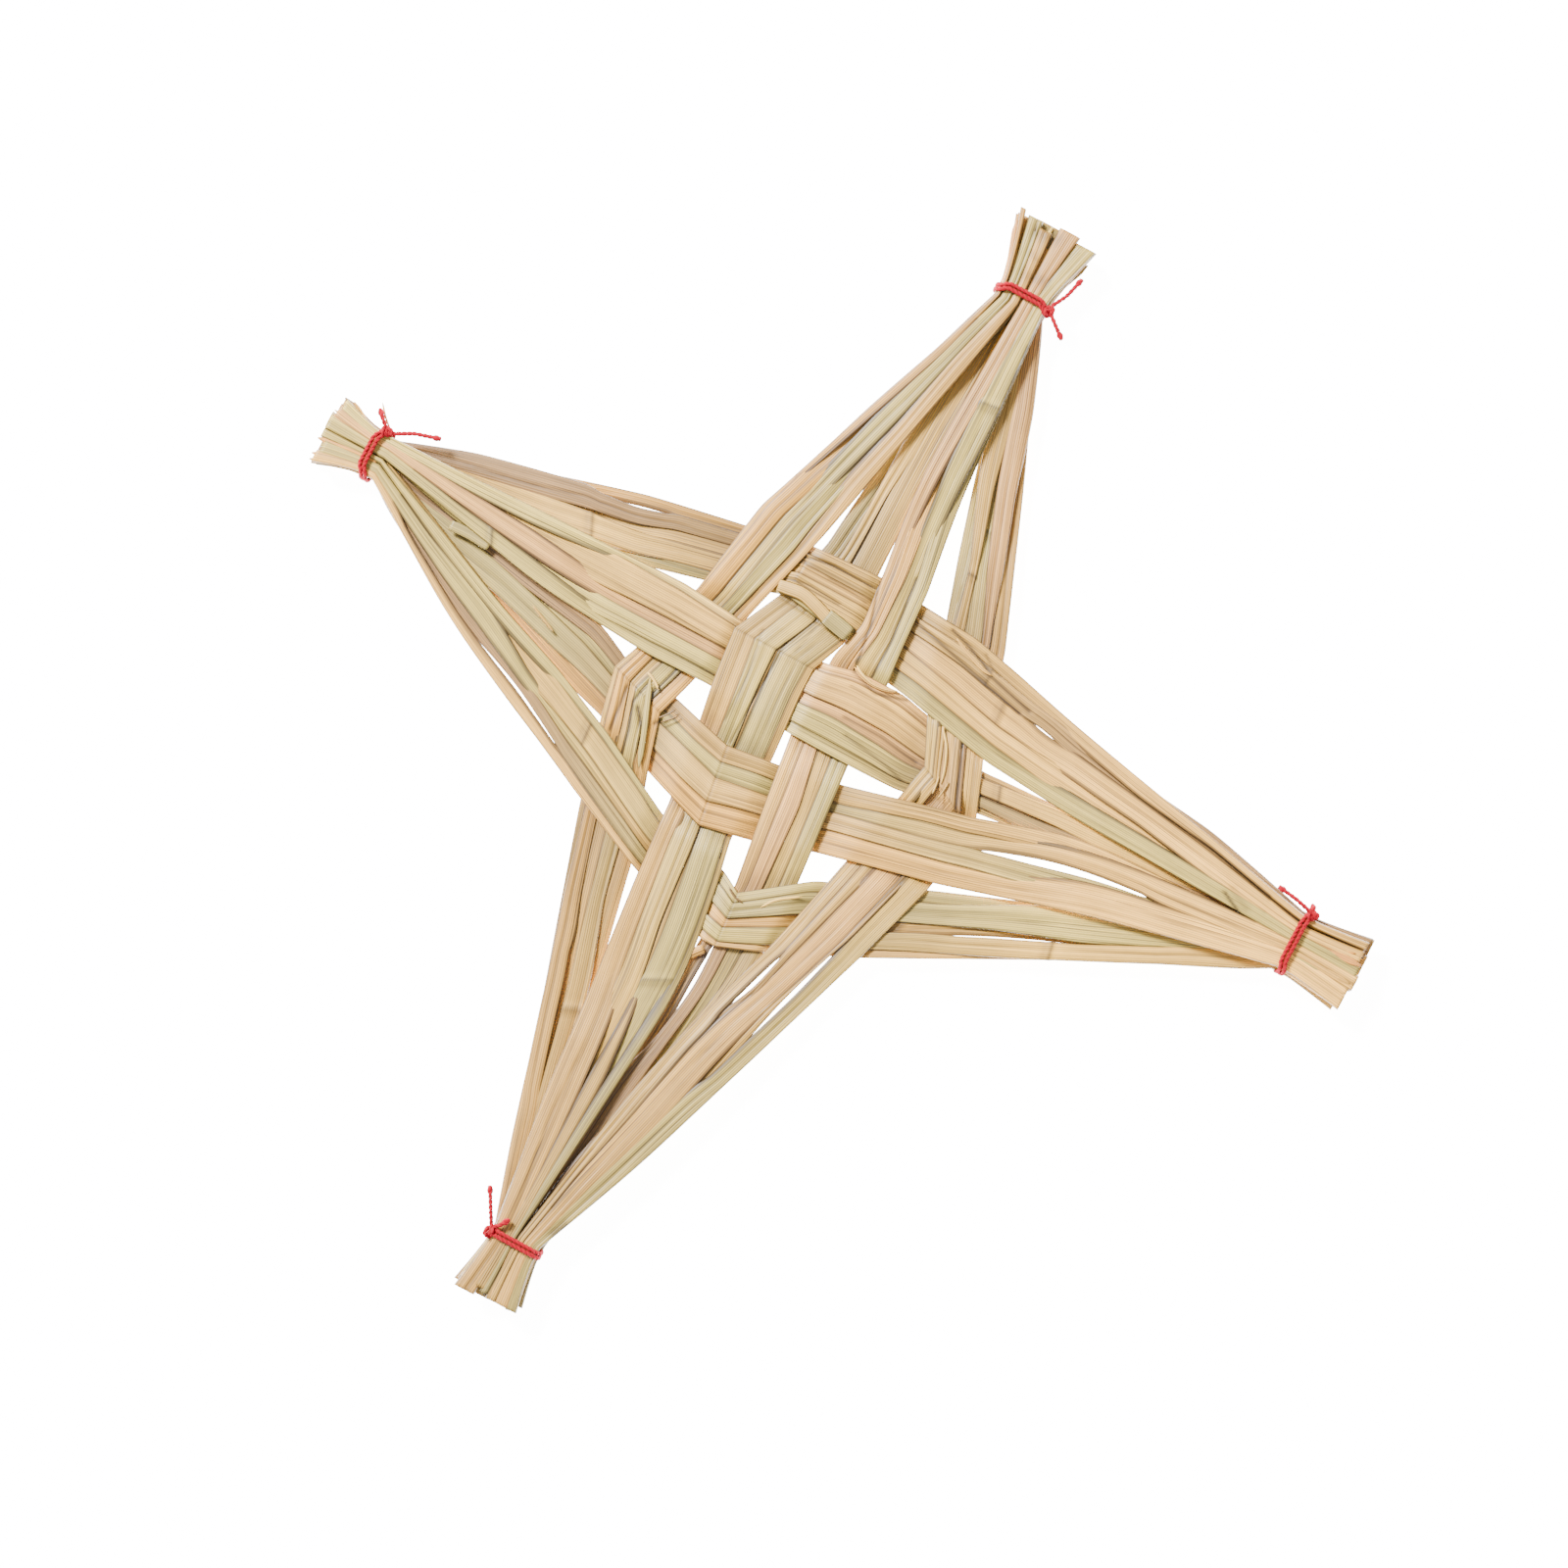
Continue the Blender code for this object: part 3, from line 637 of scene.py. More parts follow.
def straw_course(band, index):
    """Return a straw's two edges, height and thickness, and how far it is settled in an arm,
    away from a crease and under another band."""
    band_low, band_high, away = band_course(band)
    shares = BANDS[band]["shares"]
    along = (band_low[:, 0] + band_high[:, 0]) / 2
    opened = slit_shares(band, along)
    closed = 1.0 - sum(share for _, share in opened)
    before = sum(shares[:index]) * closed + sum(share for at, share in opened if at <= index)
    after = before + shares[index] * closed
    _, first, last = crossing_level(band, band_low, band_high)
    high_arm, low_arm = family_arms(band[:2])
    starts = {low_arm: along[first], high_arm: along[last]}
    raised = np.zeros(len(along))
    settled = np.zeros(len(along))
    for arm in (low_arm, high_arm):
        part = (along - starts[arm]) / (tie_face(arm) - starts[arm])
        raised = np.maximum(raised, np.clip(part / ROW_SPLIT, 0.0, 1.0))
        settled = np.maximum(settled, np.clip((part - SETTLE_FROM) / (1.0 - SETTLE_FROM), 0.0, 1.0))
    settled = soften(settled, SETTLE_SOFTNESS)
    row = row_split(band, index)
    from_low = before + (row[0] - before) * settled
    to_high = after + (row[1] - after) * settled
    width = np.hypot(*(band_high - band_low).T)
    fan = 4.0 * settled * (1.0 - settled)
    lap = (OVERLAP * (1.0 - settled) + ROW_LAP * settled + FAN_LAP * fan) / width / 2
    apart = [1.0, 1.0]
    for at, share in opened:
        for place in (0, 1):
            if at == index + place:
                apart[place] = 1.0 - np.clip(share / OPEN_SHARE, 0.0, 1.0)
    low_lap = lap * apart[0] if index > 0 else 0.0
    high_lap = lap * apart[1] if index < len(shares) - 1 else 0.0
    low_share = (from_low - low_lap + wander_line(band, index, len(along)) / width)[:, None]
    high_share = (to_high + high_lap + wander_line(band, index + 1, len(along)) / width)[:, None]
    low = band_low + (band_high - band_low) * low_share
    high = band_low + (band_high - band_low) * high_share
    level, _, _ = crossing_level(band, low, high)
    thick = STRAW_THICK + (BUNDLE_THICK - STRAW_THICK) * settled
    lift = (thick + GAP) * smooth(raised) * (index % 2 == 0)
    inner = GAP / 2 + thick / 2
    height = level * LEVEL * (1.0 - raised) + level * (inner + lift) * raised
    under = np.clip(-level, 0.0, 1.0) * (1.0 - raised)
    return low, high, height, thick, settled, away, under


first_straw = straw_course("ac1", 0)
print("thickness of a straw:", first_straw[3].min().round(2), "to", first_straw[3].max().round(2))

# %% [markdown]
# ## The straw itself
# The ring of points round a straw is a flattened oval that is rounder where the thread squeezes
# it. Wide straws have cracked lengthwise when they were pressed, so they show one or two creases
# with a line of painted shade in them. At each cut end the tube turns inward to a hollow painted
# dark as shade.

# %% Rings round a straw
TOP_POINTS = 19
BOTTOM_POINTS = 9
RIM_CROWDING = 1.4     # above 1, the points of the top crowd towards its rims
DRIFT_SOFTNESS = 10


def ring_profile():
    """Return places round an oval: across from -1 to 1 and which side of it, top or bottom."""
    spread = np.linspace(-1.0, 1.0, TOP_POINTS)
    top = np.sign(spread) * (1.0 - (1.0 - np.abs(spread)) ** RIM_CROWDING)
    bottom = np.cos(np.linspace(0.0, math.pi, BOTTOM_POINTS + 2))[1:-1]
    across = np.concatenate([top, bottom])
    side = np.concatenate([np.ones(TOP_POINTS), -np.ones(BOTTOM_POINTS)])
    return across, side


def drift(rng, count, spacing, size):
    """Return a slow random line."""
    knots = rng.normal(0.0, size, int(count // spacing) + 2)
    places = np.arange(len(knots)) * spacing
    return soften(np.interp(np.arange(count), places, knots), DRIFT_SOFTNESS)


print("points round a straw:", len(ring_profile()[0]))

# %% Tones along a straw
TUFT_TONE = 0.94       # the cut ends are a little darker than their arm
TONE_PLACES = (0.04, 0.2, 0.42, 0.58, 0.8, 0.96)


def tone_line(names, count):
    """Blend a straw's named tones along its length, from its low arm to its high arm."""
    colours = np.array([linear(PALETTE[name]) for name in reversed(names.split())])
    spots = np.linspace(0.0, 1.0, len(colours)) * 0.5 + 0.25
    places = np.linspace(0.0, 1.0, count)
    return np.stack([np.interp(places, spots, colours[:, part]) for part in range(3)], axis=1)


def arm_brightness(band, count):
    """Return how bright a straw is painted from the cut end of its low arm to that of its high arm,
    partly its own tone and partly painted light and shade.
    """
    high_tone, low_tone = [ARMS[arm]["tone"] for arm in family_arms(band[:2])]
    tones = (TUFT_TONE * low_tone, low_tone, 1.0, 1.0, high_tone, TUFT_TONE * high_tone)
    return np.interp(np.linspace(0.0, 1.0, count), TONE_PLACES, tones)


print("brightness along band ac1:", arm_brightness("ac1", 5).round(2))

# %% On through the tie
UNEVEN_MM = 2.6        # the cut ends differ by up to this much
LEAN = 0.02            # how far a cut end leans sideways, per length
TUFT_CURVE = 1.2       # above 1, a tuft spreads more towards its end


def extend_tuft(arm, low, high, height, thick, settled, away, under, rng):
    """Carry a straw on through the tie to its cut end, where the tuft spreads."""
    side = arm_side(arm)
    at = -1 if side > 0 else 0
    centre = ARMS[arm]["tie"][1]
    reach = TIE_LENGTH / 2 + ARMS[arm]["tuft"] - rng.random() * UNEVEN_MM
    steps = np.arange(1, int(reach / STEP_MM) + 1) * STEP_MM
    opened = np.clip((steps - TIE_LENGTH) / ARMS[arm]["tuft"], 0.0, 1.0) ** TUFT_CURVE
    spread = 1.0 + (ARMS[arm]["spread"] - 1.0) * opened
    lean = rng.normal(0.0, LEAN) * np.clip(steps - TIE_LENGTH, 0.0, None)
    ends = []
    for edge in (low, high):
        tail = np.stack([edge[at, 0] + side * steps,
                         centre + (edge[at, 1] - centre) * spread + lean], axis=1)
        ends.append(np.concatenate([edge, tail]) if side > 0 else np.concatenate([tail[::-1], edge]))
    flats = []
    for values in (height, thick, settled, away, under):
        tail = np.full(len(steps), values[at])
        flats.append(np.concatenate([values, tail]) if side > 0 else np.concatenate([tail, values]))
    return (*ends, *flats)


print("longest tuft beyond its tie in mm:", max(arm["tuft"] for arm in ARMS.values()))

# %% [markdown]
# ## Creases and splits
# A pressed straw cracks and folds along its fibres. These creases could be a bump in the
# material, but then the exported mesh would lose them, so they are pressed into the rings of
# points, with painted shade in each. The splits and shadow lines that can be seen one by one on
# the real cross are laid down as lines of painted shade, sunk a little into the straw; a few of
# the lines are a mould patch, a char spot and the ring of a node, and one is a pale line.

# %% Creases along a straw
CREASE_MM = 0.28       # width and depth of a crease that was pressed into a straw
CREASE_DEPTH = 0.30
# how dark the painted shade in a crease is
CREASE_DARK = 0.6
CREASE_EVERY_MM = 4.0  # a straw has about one crease for this much of its width


def relief_lines(rng, across, width, count):
    """Return the height of creases and facets on a straw's face, and how bright each place is
    painted: shade in each crease, and light or shade on the facet beside it.
    """
    height = np.zeros((count, len(across)))
    shade = np.ones((count, len(across)))
    creases = max(0, round(float(np.median(width)) / CREASE_EVERY_MM - 0.6 + rng.random() * 0.6))
    cuts = [(number + 1) / (creases + 1) * 2 - 1 + rng.normal(0.0, 0.1) for number in range(creases)]
    facet = np.zeros((count, len(across)))
    for number, cut in enumerate(cuts):
        line = cut + drift(rng, count, spacing=30, size=0.12)
        away = (across[None, :] - line[:, None]) * width[:, None] / 2
        depth = np.clip(0.55 + drift(rng, count, spacing=25, size=0.5), 0.05, 1.0)[:, None]
        height -= depth * CREASE_DEPTH * bump(away, CREASE_MM)
        shade *= 1.0 - depth * CREASE_DARK * bump(away, CREASE_MM * 0.7)
        # one side of each crease is painted lighter or darker, as light falling on a facet would make
        # it
        facet += np.where(away > 0, 1.0, 0.0) * rng.normal(0.0, 0.09)
        height += np.where(away > 0, 1.0, 0.0) * rng.normal(0.0, 0.07)
    swell = rng.normal(0.0, 0.05)
    wave = drift(rng, count, spacing=40, size=1.0)[:, None]
    height += swell * np.cos(3 * across[None, :] + wave)
    return height, shade * (1.0 + facet)


print("a straw 5 mm wide has about", round(5.0 / CREASE_EVERY_MM), "crease")

# %% Splits and shadow lines
# Each line: the bands it may fall on, its half width (mm), how dark it is (below zero is pale),
# and its corners as places in the photograph. Most are painted shadow in splits and beside straws
# that lie on top; the three on family ac near its tuft are a mould patch, the wide one on ac4 is
# a char spot, and the last two are the ring of a node.
MARKS = (
    ("ac1", 0.60, 0.95, ((651, 722), (656, 750), (653, 778))),
    ("ac1", 0.42, 0.92, ((664, 694), (646, 716), (642, 745), (634, 772))),
    ("ac1", 0.38, 0.85, ((669, 700), (662, 722), (652, 782))),
    ("ac1", 0.30, -0.25, ((666, 700), (659, 735), (650, 785))),
    ("ac1", 0.45, 0.90, ((690, 728), (678, 734), (668, 738))),
    ("ac1", 0.50, 0.85, ((640, 700), (632, 722), (622, 745))),
    ("ac1", 0.45, 0.80, ((690, 684), (676, 698), (664, 712))),
    ("ac4", 0.45, 0.90, ((983, 755), (979, 790), (975, 825))),
    ("ac2", 0.30, 0.60, ((778, 643), (762, 690), (740, 735))),
    ("ac2", 0.30, 0.65, ((803, 655), (770, 712), (745, 758))),
    ("ac2", 0.30, 0.50, ((833, 640), (812, 665))),
    ("ac3", 0.34, 0.80, ((905, 560), (888, 640), (873, 682))),
    ("ac3", 0.34, 0.80, ((935, 590), (910, 655), (890, 692))),
    ("bd1", 0.35, 0.80, ((820, 568), (852, 578), (890, 600))),
    ("bd1", 0.30, 0.70, ((806, 590), (827, 598), (857, 617))),
    ("bd1", 0.28, 0.60, ((845, 590), (866, 603), (883, 615))),
    ("bd1", 0.35, 0.70, ((800, 609), (818, 610), (838, 630), (852, 652))),
    ("bd2", 0.50, 0.75, ((862, 732), (900, 752), (935, 778))),
    ("bd2", 0.40, 0.65, ((862, 750), (905, 782), (920, 797))),
    ("bd2", 0.35, 0.60, ((868, 700), (905, 722), (945, 752))),
    ("bd1", 0.50, 0.85, ((930, 630), (972, 668), (1008, 700), (1040, 728))),
    ("bd1", 0.45, 0.92, ((972, 643), (990, 661), (1008, 684))),
    ("bd1", 0.55, 0.85, ((1006, 686), (1030, 708), (1050, 726))),
    ("bd1", 0.35, 0.60, ((1006, 668), (1013, 683), (1020, 690))),
    ("bd2", 0.45, 0.75, ((872, 686), (893, 708), (926, 715))),
    ("ac", 2.00, 0.55, ((1058, 240), (1076, 246))),
    ("ac", 1.60, 0.40, ((1046, 284), (1064, 290))),
    ("ac", 0.80, 0.35, ((1052, 262), (1060, 270), (1056, 285))),
    ("ac4", 1.30, 0.70, ((566, 1258), (578, 1250))),
    ("bd", 0.45, 0.90, ((1248, 910), (1262, 930))),
    ("bd", 1.00, 0.35, ((1256, 907), (1270, 927))),
)
MARK_DEPTH = 0.35      # how deep (mm) a full dark line is sunk into a straw


def distance_to(points, line):
    """Return how far points in the plane are from a line through corners."""
    nearest = np.full(points.shape[:-1], 1e3)
    for start, end in zip(line, line[1:]):
        run = end - start
        part = np.clip(((points - start) @ run) / (run @ run), 0.0, 1.0)
        nearest = np.minimum(nearest, np.linalg.norm(points - start - part[..., None] * run, axis=-1))
    return nearest


def marks_on(band, plan, width_shape):
    """Return the shade and the depth that the marks of a band give to places on its straws: mostly
    painted shadow, with a mould patch, a char spot and a node's ring.
    """
    shade = np.ones(width_shape)
    depth = np.zeros(width_shape)
    for marked, size, strength, corners in MARKS:
        if not band.startswith(marked):
            continue
        line = np.array([pixel_to_plait(*corner) for corner in corners])
        near = bump(distance_to(plan, line), size)
        shade *= 1.0 - strength * near
        depth -= max(strength, 0.0) * MARK_DEPTH * near
    return shade, depth


print("painted lines:", len(MARKS))

# %% [markdown]
# ## Cut ends
# A cut straw shows its wall and a hollow in shade. A flat cap would look like a stick, so the last
# ring turns inward by the thickness of the wall and goes a few millimetres back into the tube,
# where the tone is painted dark as shade.

# %% Hollow cut ends
WALL_MM = 0.3
HOLLOW_MM = 3.0
NARROWEST_LIP = 0.35
# painted shade inside the hollow of a cut end
HOLLOW_SHADE = "#5A3E22"


def add_hollow_ends(rings, place, along, tones):
    """Turn the tube inward at both cut ends, to a hollow painted dark as shade."""
    dark = np.array(linear(HOLLOW_SHADE))
    for last in (False, True):
        ring = rings[-1] if last else rings[0]
        inward = (rings[-2] - rings[-1]) if last else (rings[1] - rings[0])
        inward = inward / np.linalg.norm(inward.mean(axis=0))
        middle = ring.mean(axis=0)
        size = np.linalg.norm(ring - middle, axis=1).mean()
        lip = middle + (ring - middle) * max(NARROWEST_LIP, 1.0 - WALL_MM / size)
        deep = lip + inward.mean(axis=0) * HOLLOW_MM
        extra = [lip, deep]
        shades = [tones[-1] if last else tones[0], np.broadcast_to(dark, tones[0].shape)]
        steps = [WALL_MM, HOLLOW_MM]
        if last:
            rings = np.concatenate([rings, extra])
            tones = np.concatenate([tones, shades])
            along = np.concatenate([along, along[-1] + np.array(steps)])
            place = np.concatenate([place, place[-1:], place[-1:]])
        else:
            rings = np.concatenate([extra[::-1], rings])
            tones = np.concatenate([shades[::-1], tones])
            along = np.concatenate([along[0] - np.array(steps)[::-1], along])
            place = np.concatenate([place[:1], place[:1], place])
    return rings, place, along, tones


print("depth of a hollow end in mm:", HOLLOW_MM)

# %% [markdown]
# ## Relief and shade of a straw
# Pressed straws lie on each other like shingles, with a fine dark line where they touch. Lamps
# alone draw that line too faintly under such soft light, so part of it is painted into the tone as
# shade: dark rims, a shadow beside the straw on top, and a highlight where a straw turns down.
# Shade is also painted under other bands, deep in the arms and along sharp creases, and the two
# sides of a crease are painted lighter and darker. The pale and dark rings of each node are the
# straw's own colour.

# %% Nodes, tilts and shades of a straw
NODE_MM = 0.9
NODE_RINGS = ((0.16, 1.5, 0.9), (-0.30, -1.3, 0.8), (-0.75, 0.0, 0.50))  # strength, place, width
SHINGLE_MM = 0.10      # neighbours in the plait tilt like shingles,
STAGGER_MM = 0.24      # lie higher and lower in turn
ARCH_MM = 0.12         # and are arched
FULL_ARCH_WIDTH = 5.0
RIM_DARK, RIM_MM = 0.80, 0.28     # painted shade on the rim of a straw, in the plait
ARM_RIM_DARK, ARM_RIM_MM = -0.06, 0.08   # what changes in the arms
TUCK_DARK, TUCK_MM = 0.74, 0.36   # painted shadow beside a neighbour that lies on top
SHINE, SHINE_FROM_RIM, SHINE_MM = 0.12, 0.75, 0.30   # a painted highlight where a straw turns down


def node_lines(band, index, along):
    """Return how swollen a straw is by its nodes, and how their pale and dark rings colour it."""
    swollen = np.zeros(len(along))
    shade = np.zeros(len(along))
    for spot in NODES.get((band, index), ()):
        off = along - spot
        swollen += bump(off, NODE_MM)
        shade += sum(strength * bump(off - place, width) for strength, place, width in NODE_RINGS)
    return swollen, shade


def face_lift(rng, band, index, across, width, settled):
    """Return how far a straw's tilt, arch and turn in the row lift each place in the plait."""
    tilt = SHINGLE_MM * (1.0 if ord(band[2]) % 2 else -1.0) * (1.0 if rng.random() < 0.75 else -1.0)
    slope = (tilt + drift(rng, len(width), spacing=40, size=0.05))[:, None]
    arch = np.clip(width / FULL_ARCH_WIDTH, 0.3, 1.0)[:, None]
    arch = ARCH_MM * (0.5 - across[None, :] ** 2) * arch
    stagger = STAGGER_MM * (1.0 if index % 2 else -1.0) + rng.normal(0.0, 0.05)
    flat = 1.0 - settled[:, None]
    return slope * across[None, :] * flat + (arch + stagger) * flat


def edge_shade(shade, band, index, across, width, settled):
    """Paint shade on a straw's rims and beside the neighbours on top of it, and a highlight where
    it turns down.
    """
    rim = (1.0 - np.abs(across[None, :])) * width[:, None] / 2
    loose = settled[:, None]
    last = len(BANDS[band]["shares"]) - 1
    open_edge = np.where(across > 0, index == last, index == 0)[None, :]
    tucked = (1.0 - loose) * OVERLAP * (index % 2 == 0) * ~open_edge
    shade = shade * (1.0 - (RIM_DARK + ARM_RIM_DARK * loose) * bump(rim, RIM_MM + ARM_RIM_MM * loose))
    beside = np.clip(rim - tucked, 0.0, None)
    shade = shade * (1.0 - TUCK_DARK * bump(beside, TUCK_MM) * (tucked > 0.1))
    return shade * (1.0 + SHINE * bump(rim - SHINE_FROM_RIM, SHINE_MM) * (tucked < 0.1))


rings_at_node = node_lines("ac4", 2, np.array((65.0, 66.5)))[1]
print("a node's rings change the shade by", rings_at_node.round(2))

# %% One straw from cut end to cut end
CROWN_POWER = 5.0      # how square the section is in the plait, and how much less in the arms
ARM_CROWN_POWER = -1.8
NODE_SWELL = 0.35
NODE_SPREAD = 0.05
ALMOST_RIM = 0.999     # keeps the height of the rim above zero
CREST_MM = 0.16        # height of the ridge at a sharp crease across the band,
CREST_WIDTH = 0.9      # its width,
VALLEY = 1.2           # and how deep the fold line is cut into it
KINK_LINE_MM = 0.28
# painted shade along the fold line of a sharp crease across the band
KINK_DARK = 0.42
FACING_MM = 9.0        # how far from a crease its two sides are painted lighter and darker, and how much
FACING = (0.05, 0.04)
TONE_SPREAD = 0.06     # how much straws of one tone differ
PATTERN_SHIFT = 300    # each straw reads the pattern of ribs at a place of its own
LENGTH_SHIFT = 400
BACK_SHIFT = 20.0
SEAM_MM = 0.1
UNDER_DARK = 0.40      # painted shade under another band, and deep in an arm
DEEP_DARK = 0.24


def make_straw(band, index):
    """Model one straw from cut end to cut end."""
    name = f"straw_{band}_{index + 1}"
    rng = np.random.default_rng(sum(ord(letter) * place for place, letter in enumerate(name, 1)))
    course = straw_course(band, index)
    for arm in family_arms(band[:2]):
        course = extend_tuft(arm, *course, rng)
    low, high, height, thick, settled, away, under = course
    count = len(low)
    across, side = ring_profile()
    width = np.hypot(*(high - low).T)
    relief, shade = relief_lines(rng, across, width, count)
    swollen, node_shade = node_lines(band, index, (low[:, 0] + high[:, 0]) / 2)
    kinks = bump(away, KINK_LINE_MM)
    facing = np.where(away < 0, 1.0, -1.0) * bump(away, FACING_MM) * rng.normal(*FACING)

    power = (CROWN_POWER + ARM_CROWN_POWER * settled)[:, None]
    crown = np.power(1.0 - np.power(np.abs(across[None, :]) * ALMOST_RIM, power), 1.0 / power)
    plump = (thick * (1.0 + NODE_SWELL * swollen))[:, None] / 2 * crown * side[None, :]
    top = np.where(side > 0, 1.0, 0.0)[None, :]
    lift = face_lift(rng, band, index, across, width, settled)
    ridge = CREST_MM * (bump(away, CREST_WIDTH) - VALLEY * kinks)[:, None] * top
    share = (across[None, :, None] * (1.0 + NODE_SPREAD * swollen[:, None, None]) + 1.0) / 2
    plan = low[:, None, :] + (high - low)[:, None, :] * share
    if band.startswith("ac"):
        plan = plan[:, :, ::-1]
    marked, sunk = marks_on(band, plan, shade.shape)
    up = height[:, None] + plump + (relief * crown + sunk) * top + lift + ridge
    rings = np.concatenate([plan, up[:, :, None]], axis=2) + PLAIT_CENTRE
    steps = np.linalg.norm(np.diff(rings.mean(axis=1), axis=0), axis=1)
    along = np.concatenate([[0.0], np.cumsum(steps)]) + rng.random() * LENGTH_SHIFT

    # The tone carries painted light and shade: dark rims and tucked strips, a highlight, shade under
    # other bands, deep in the arms and along creases, lighter and darker sides of a crease, and the
    # arm's brightness, which is partly painted light.
    brightness = arm_brightness(band, count)[:, None] * (1.0 + rng.normal(0.0, TONE_SPREAD))
    shade = edge_shade(shade * marked * brightness, band, index, across, width, settled)
    deep = np.clip(-height, 0.0, 1.0) * settled + (index % 2) * np.clip(height, 0.0, 1.0) * settled
    shade = shade * (1.0 - UNDER_DARK * under - DEEP_DARK * deep)[:, None]
    shade = shade * (1.0 + facing - KINK_DARK * kinks + node_shade)[:, None]
    tones = np.repeat(tone_line(BANDS[band]["tones"][index], count)[:, None, :], len(across), axis=1)
    tones = tones * shade[:, :, None] + SHADOW * np.clip(1.0 - shade, 0.0, 1.0)[:, :, None]
    place = across * width[:, None] / 2 + np.where(side > 0, 0.0, BACK_SHIFT)[None, :]
    place = place + rng.random() * PATTERN_SHIFT
    place = np.concatenate([place, place[:, :1] + SEAM_MM], axis=1)
    rings, place, along, tones = add_hollow_ends(rings, place, along, tones)
    return roll_tube(name, rings, place, along, tones, STRAW, node=name)


straws = [make_straw(band, index) for band in BANDS for index in range(len(BANDS[band]["shares"]))]
print("straws made:", len(straws), "faces:", sum(len(straw.data.polygons) for straw in straws))

# %% [markdown]
# ## Shreds and torn edges
# Dry straw splits when it is pressed and bent. We add the torn flaps, loose fibres and slivers
# that the real cross shows, each as a thin curled strip along a few points of the photograph, and
# fill every tuft with slivers of uneven length.

# %% Shreds
SHRED_THICK = 0.12
SHRED_POINTS = 10
SHRED_STEP = 0.7       # between two rings of a shred
FEWEST_RINGS = 8
SHRED_SOFTNESS = 6
TAPER = 7.0            # a shred reaches its full width after a seventh of its length
WIDE_SHRED = 1.9       # a shred wider than this keeps broad ends
BROAD_END, THIN_END = 0.9, 0.25
# painted shade along the rims of a shred
SHRED_RIM_DARK, SHRED_RIM = 0.45, 0.10
UV_SHIFT = (7.0, 31.0)   # shreds of different widths read the pattern at different places


def make_shred(name, line, heights, width, tone, curl):
    """Model a thin strip that narrows to its ends along a line seen from above."""
    line = np.array(line, dtype=float)
    runs = np.concatenate([[0.0], np.cumsum(np.linalg.norm(np.diff(line, axis=0), axis=1))])
    spots = np.linspace(0.0, runs[-1], max(FEWEST_RINGS, int(runs[-1] / SHRED_STEP)))
    plan = [soften(np.interp(spots, runs, line[:, axis]), SHRED_SOFTNESS) for axis in (0, 1)]
    plan = np.stack(plan, axis=1)
    height = np.interp(spots / runs[-1], np.linspace(0.0, 1.0, len(heights)), heights)
    ahead = np.gradient(plan, axis=0)
    ahead /= np.linalg.norm(ahead, axis=1)[:, None]
    square = np.stack([-ahead[:, 1], ahead[:, 0]], axis=1)
    part = np.linspace(0.0, 1.0, len(spots))
    blunt = BROAD_END if width > WIDE_SHRED else THIN_END
    inward = np.clip(np.minimum(part, 1.0 - part) * TAPER, 0.0, 1.0)
    half = width / 2 * (blunt + (1.0 - blunt) * inward)
    turn = np.linspace(0.0, 2 * math.pi, SHRED_POINTS + 1)[:-1]
    across, side = np.cos(turn), np.sin(turn)
    shape = plan[:, None, :] + square[:, None, :] * (half[:, None] * across[None, :])[:, :, None]
    lift = curl * half[:, None] * (1.0 - across[None, :] ** 2) + SHRED_THICK * side[None, :]
    rings = np.concatenate([shape, (height[:, None] + lift)[:, :, None]], axis=2) + PLAIT_CENTRE
    place = np.repeat((np.append(across, across[0]) * width / 2)[None, :], len(spots), axis=0)
    shade = 1.0 - SHRED_RIM_DARK * bump(1.0 - np.abs(across), SHRED_RIM)[None, :, None]
    tones = np.array(tone)[None, None, :] * shade * np.ones((len(spots), 1, 1))
    place = place + UV_SHIFT[0] * width
    return roll_tube(name, rings, place, spots + UV_SHIFT[1] * width, tones, STRAW)


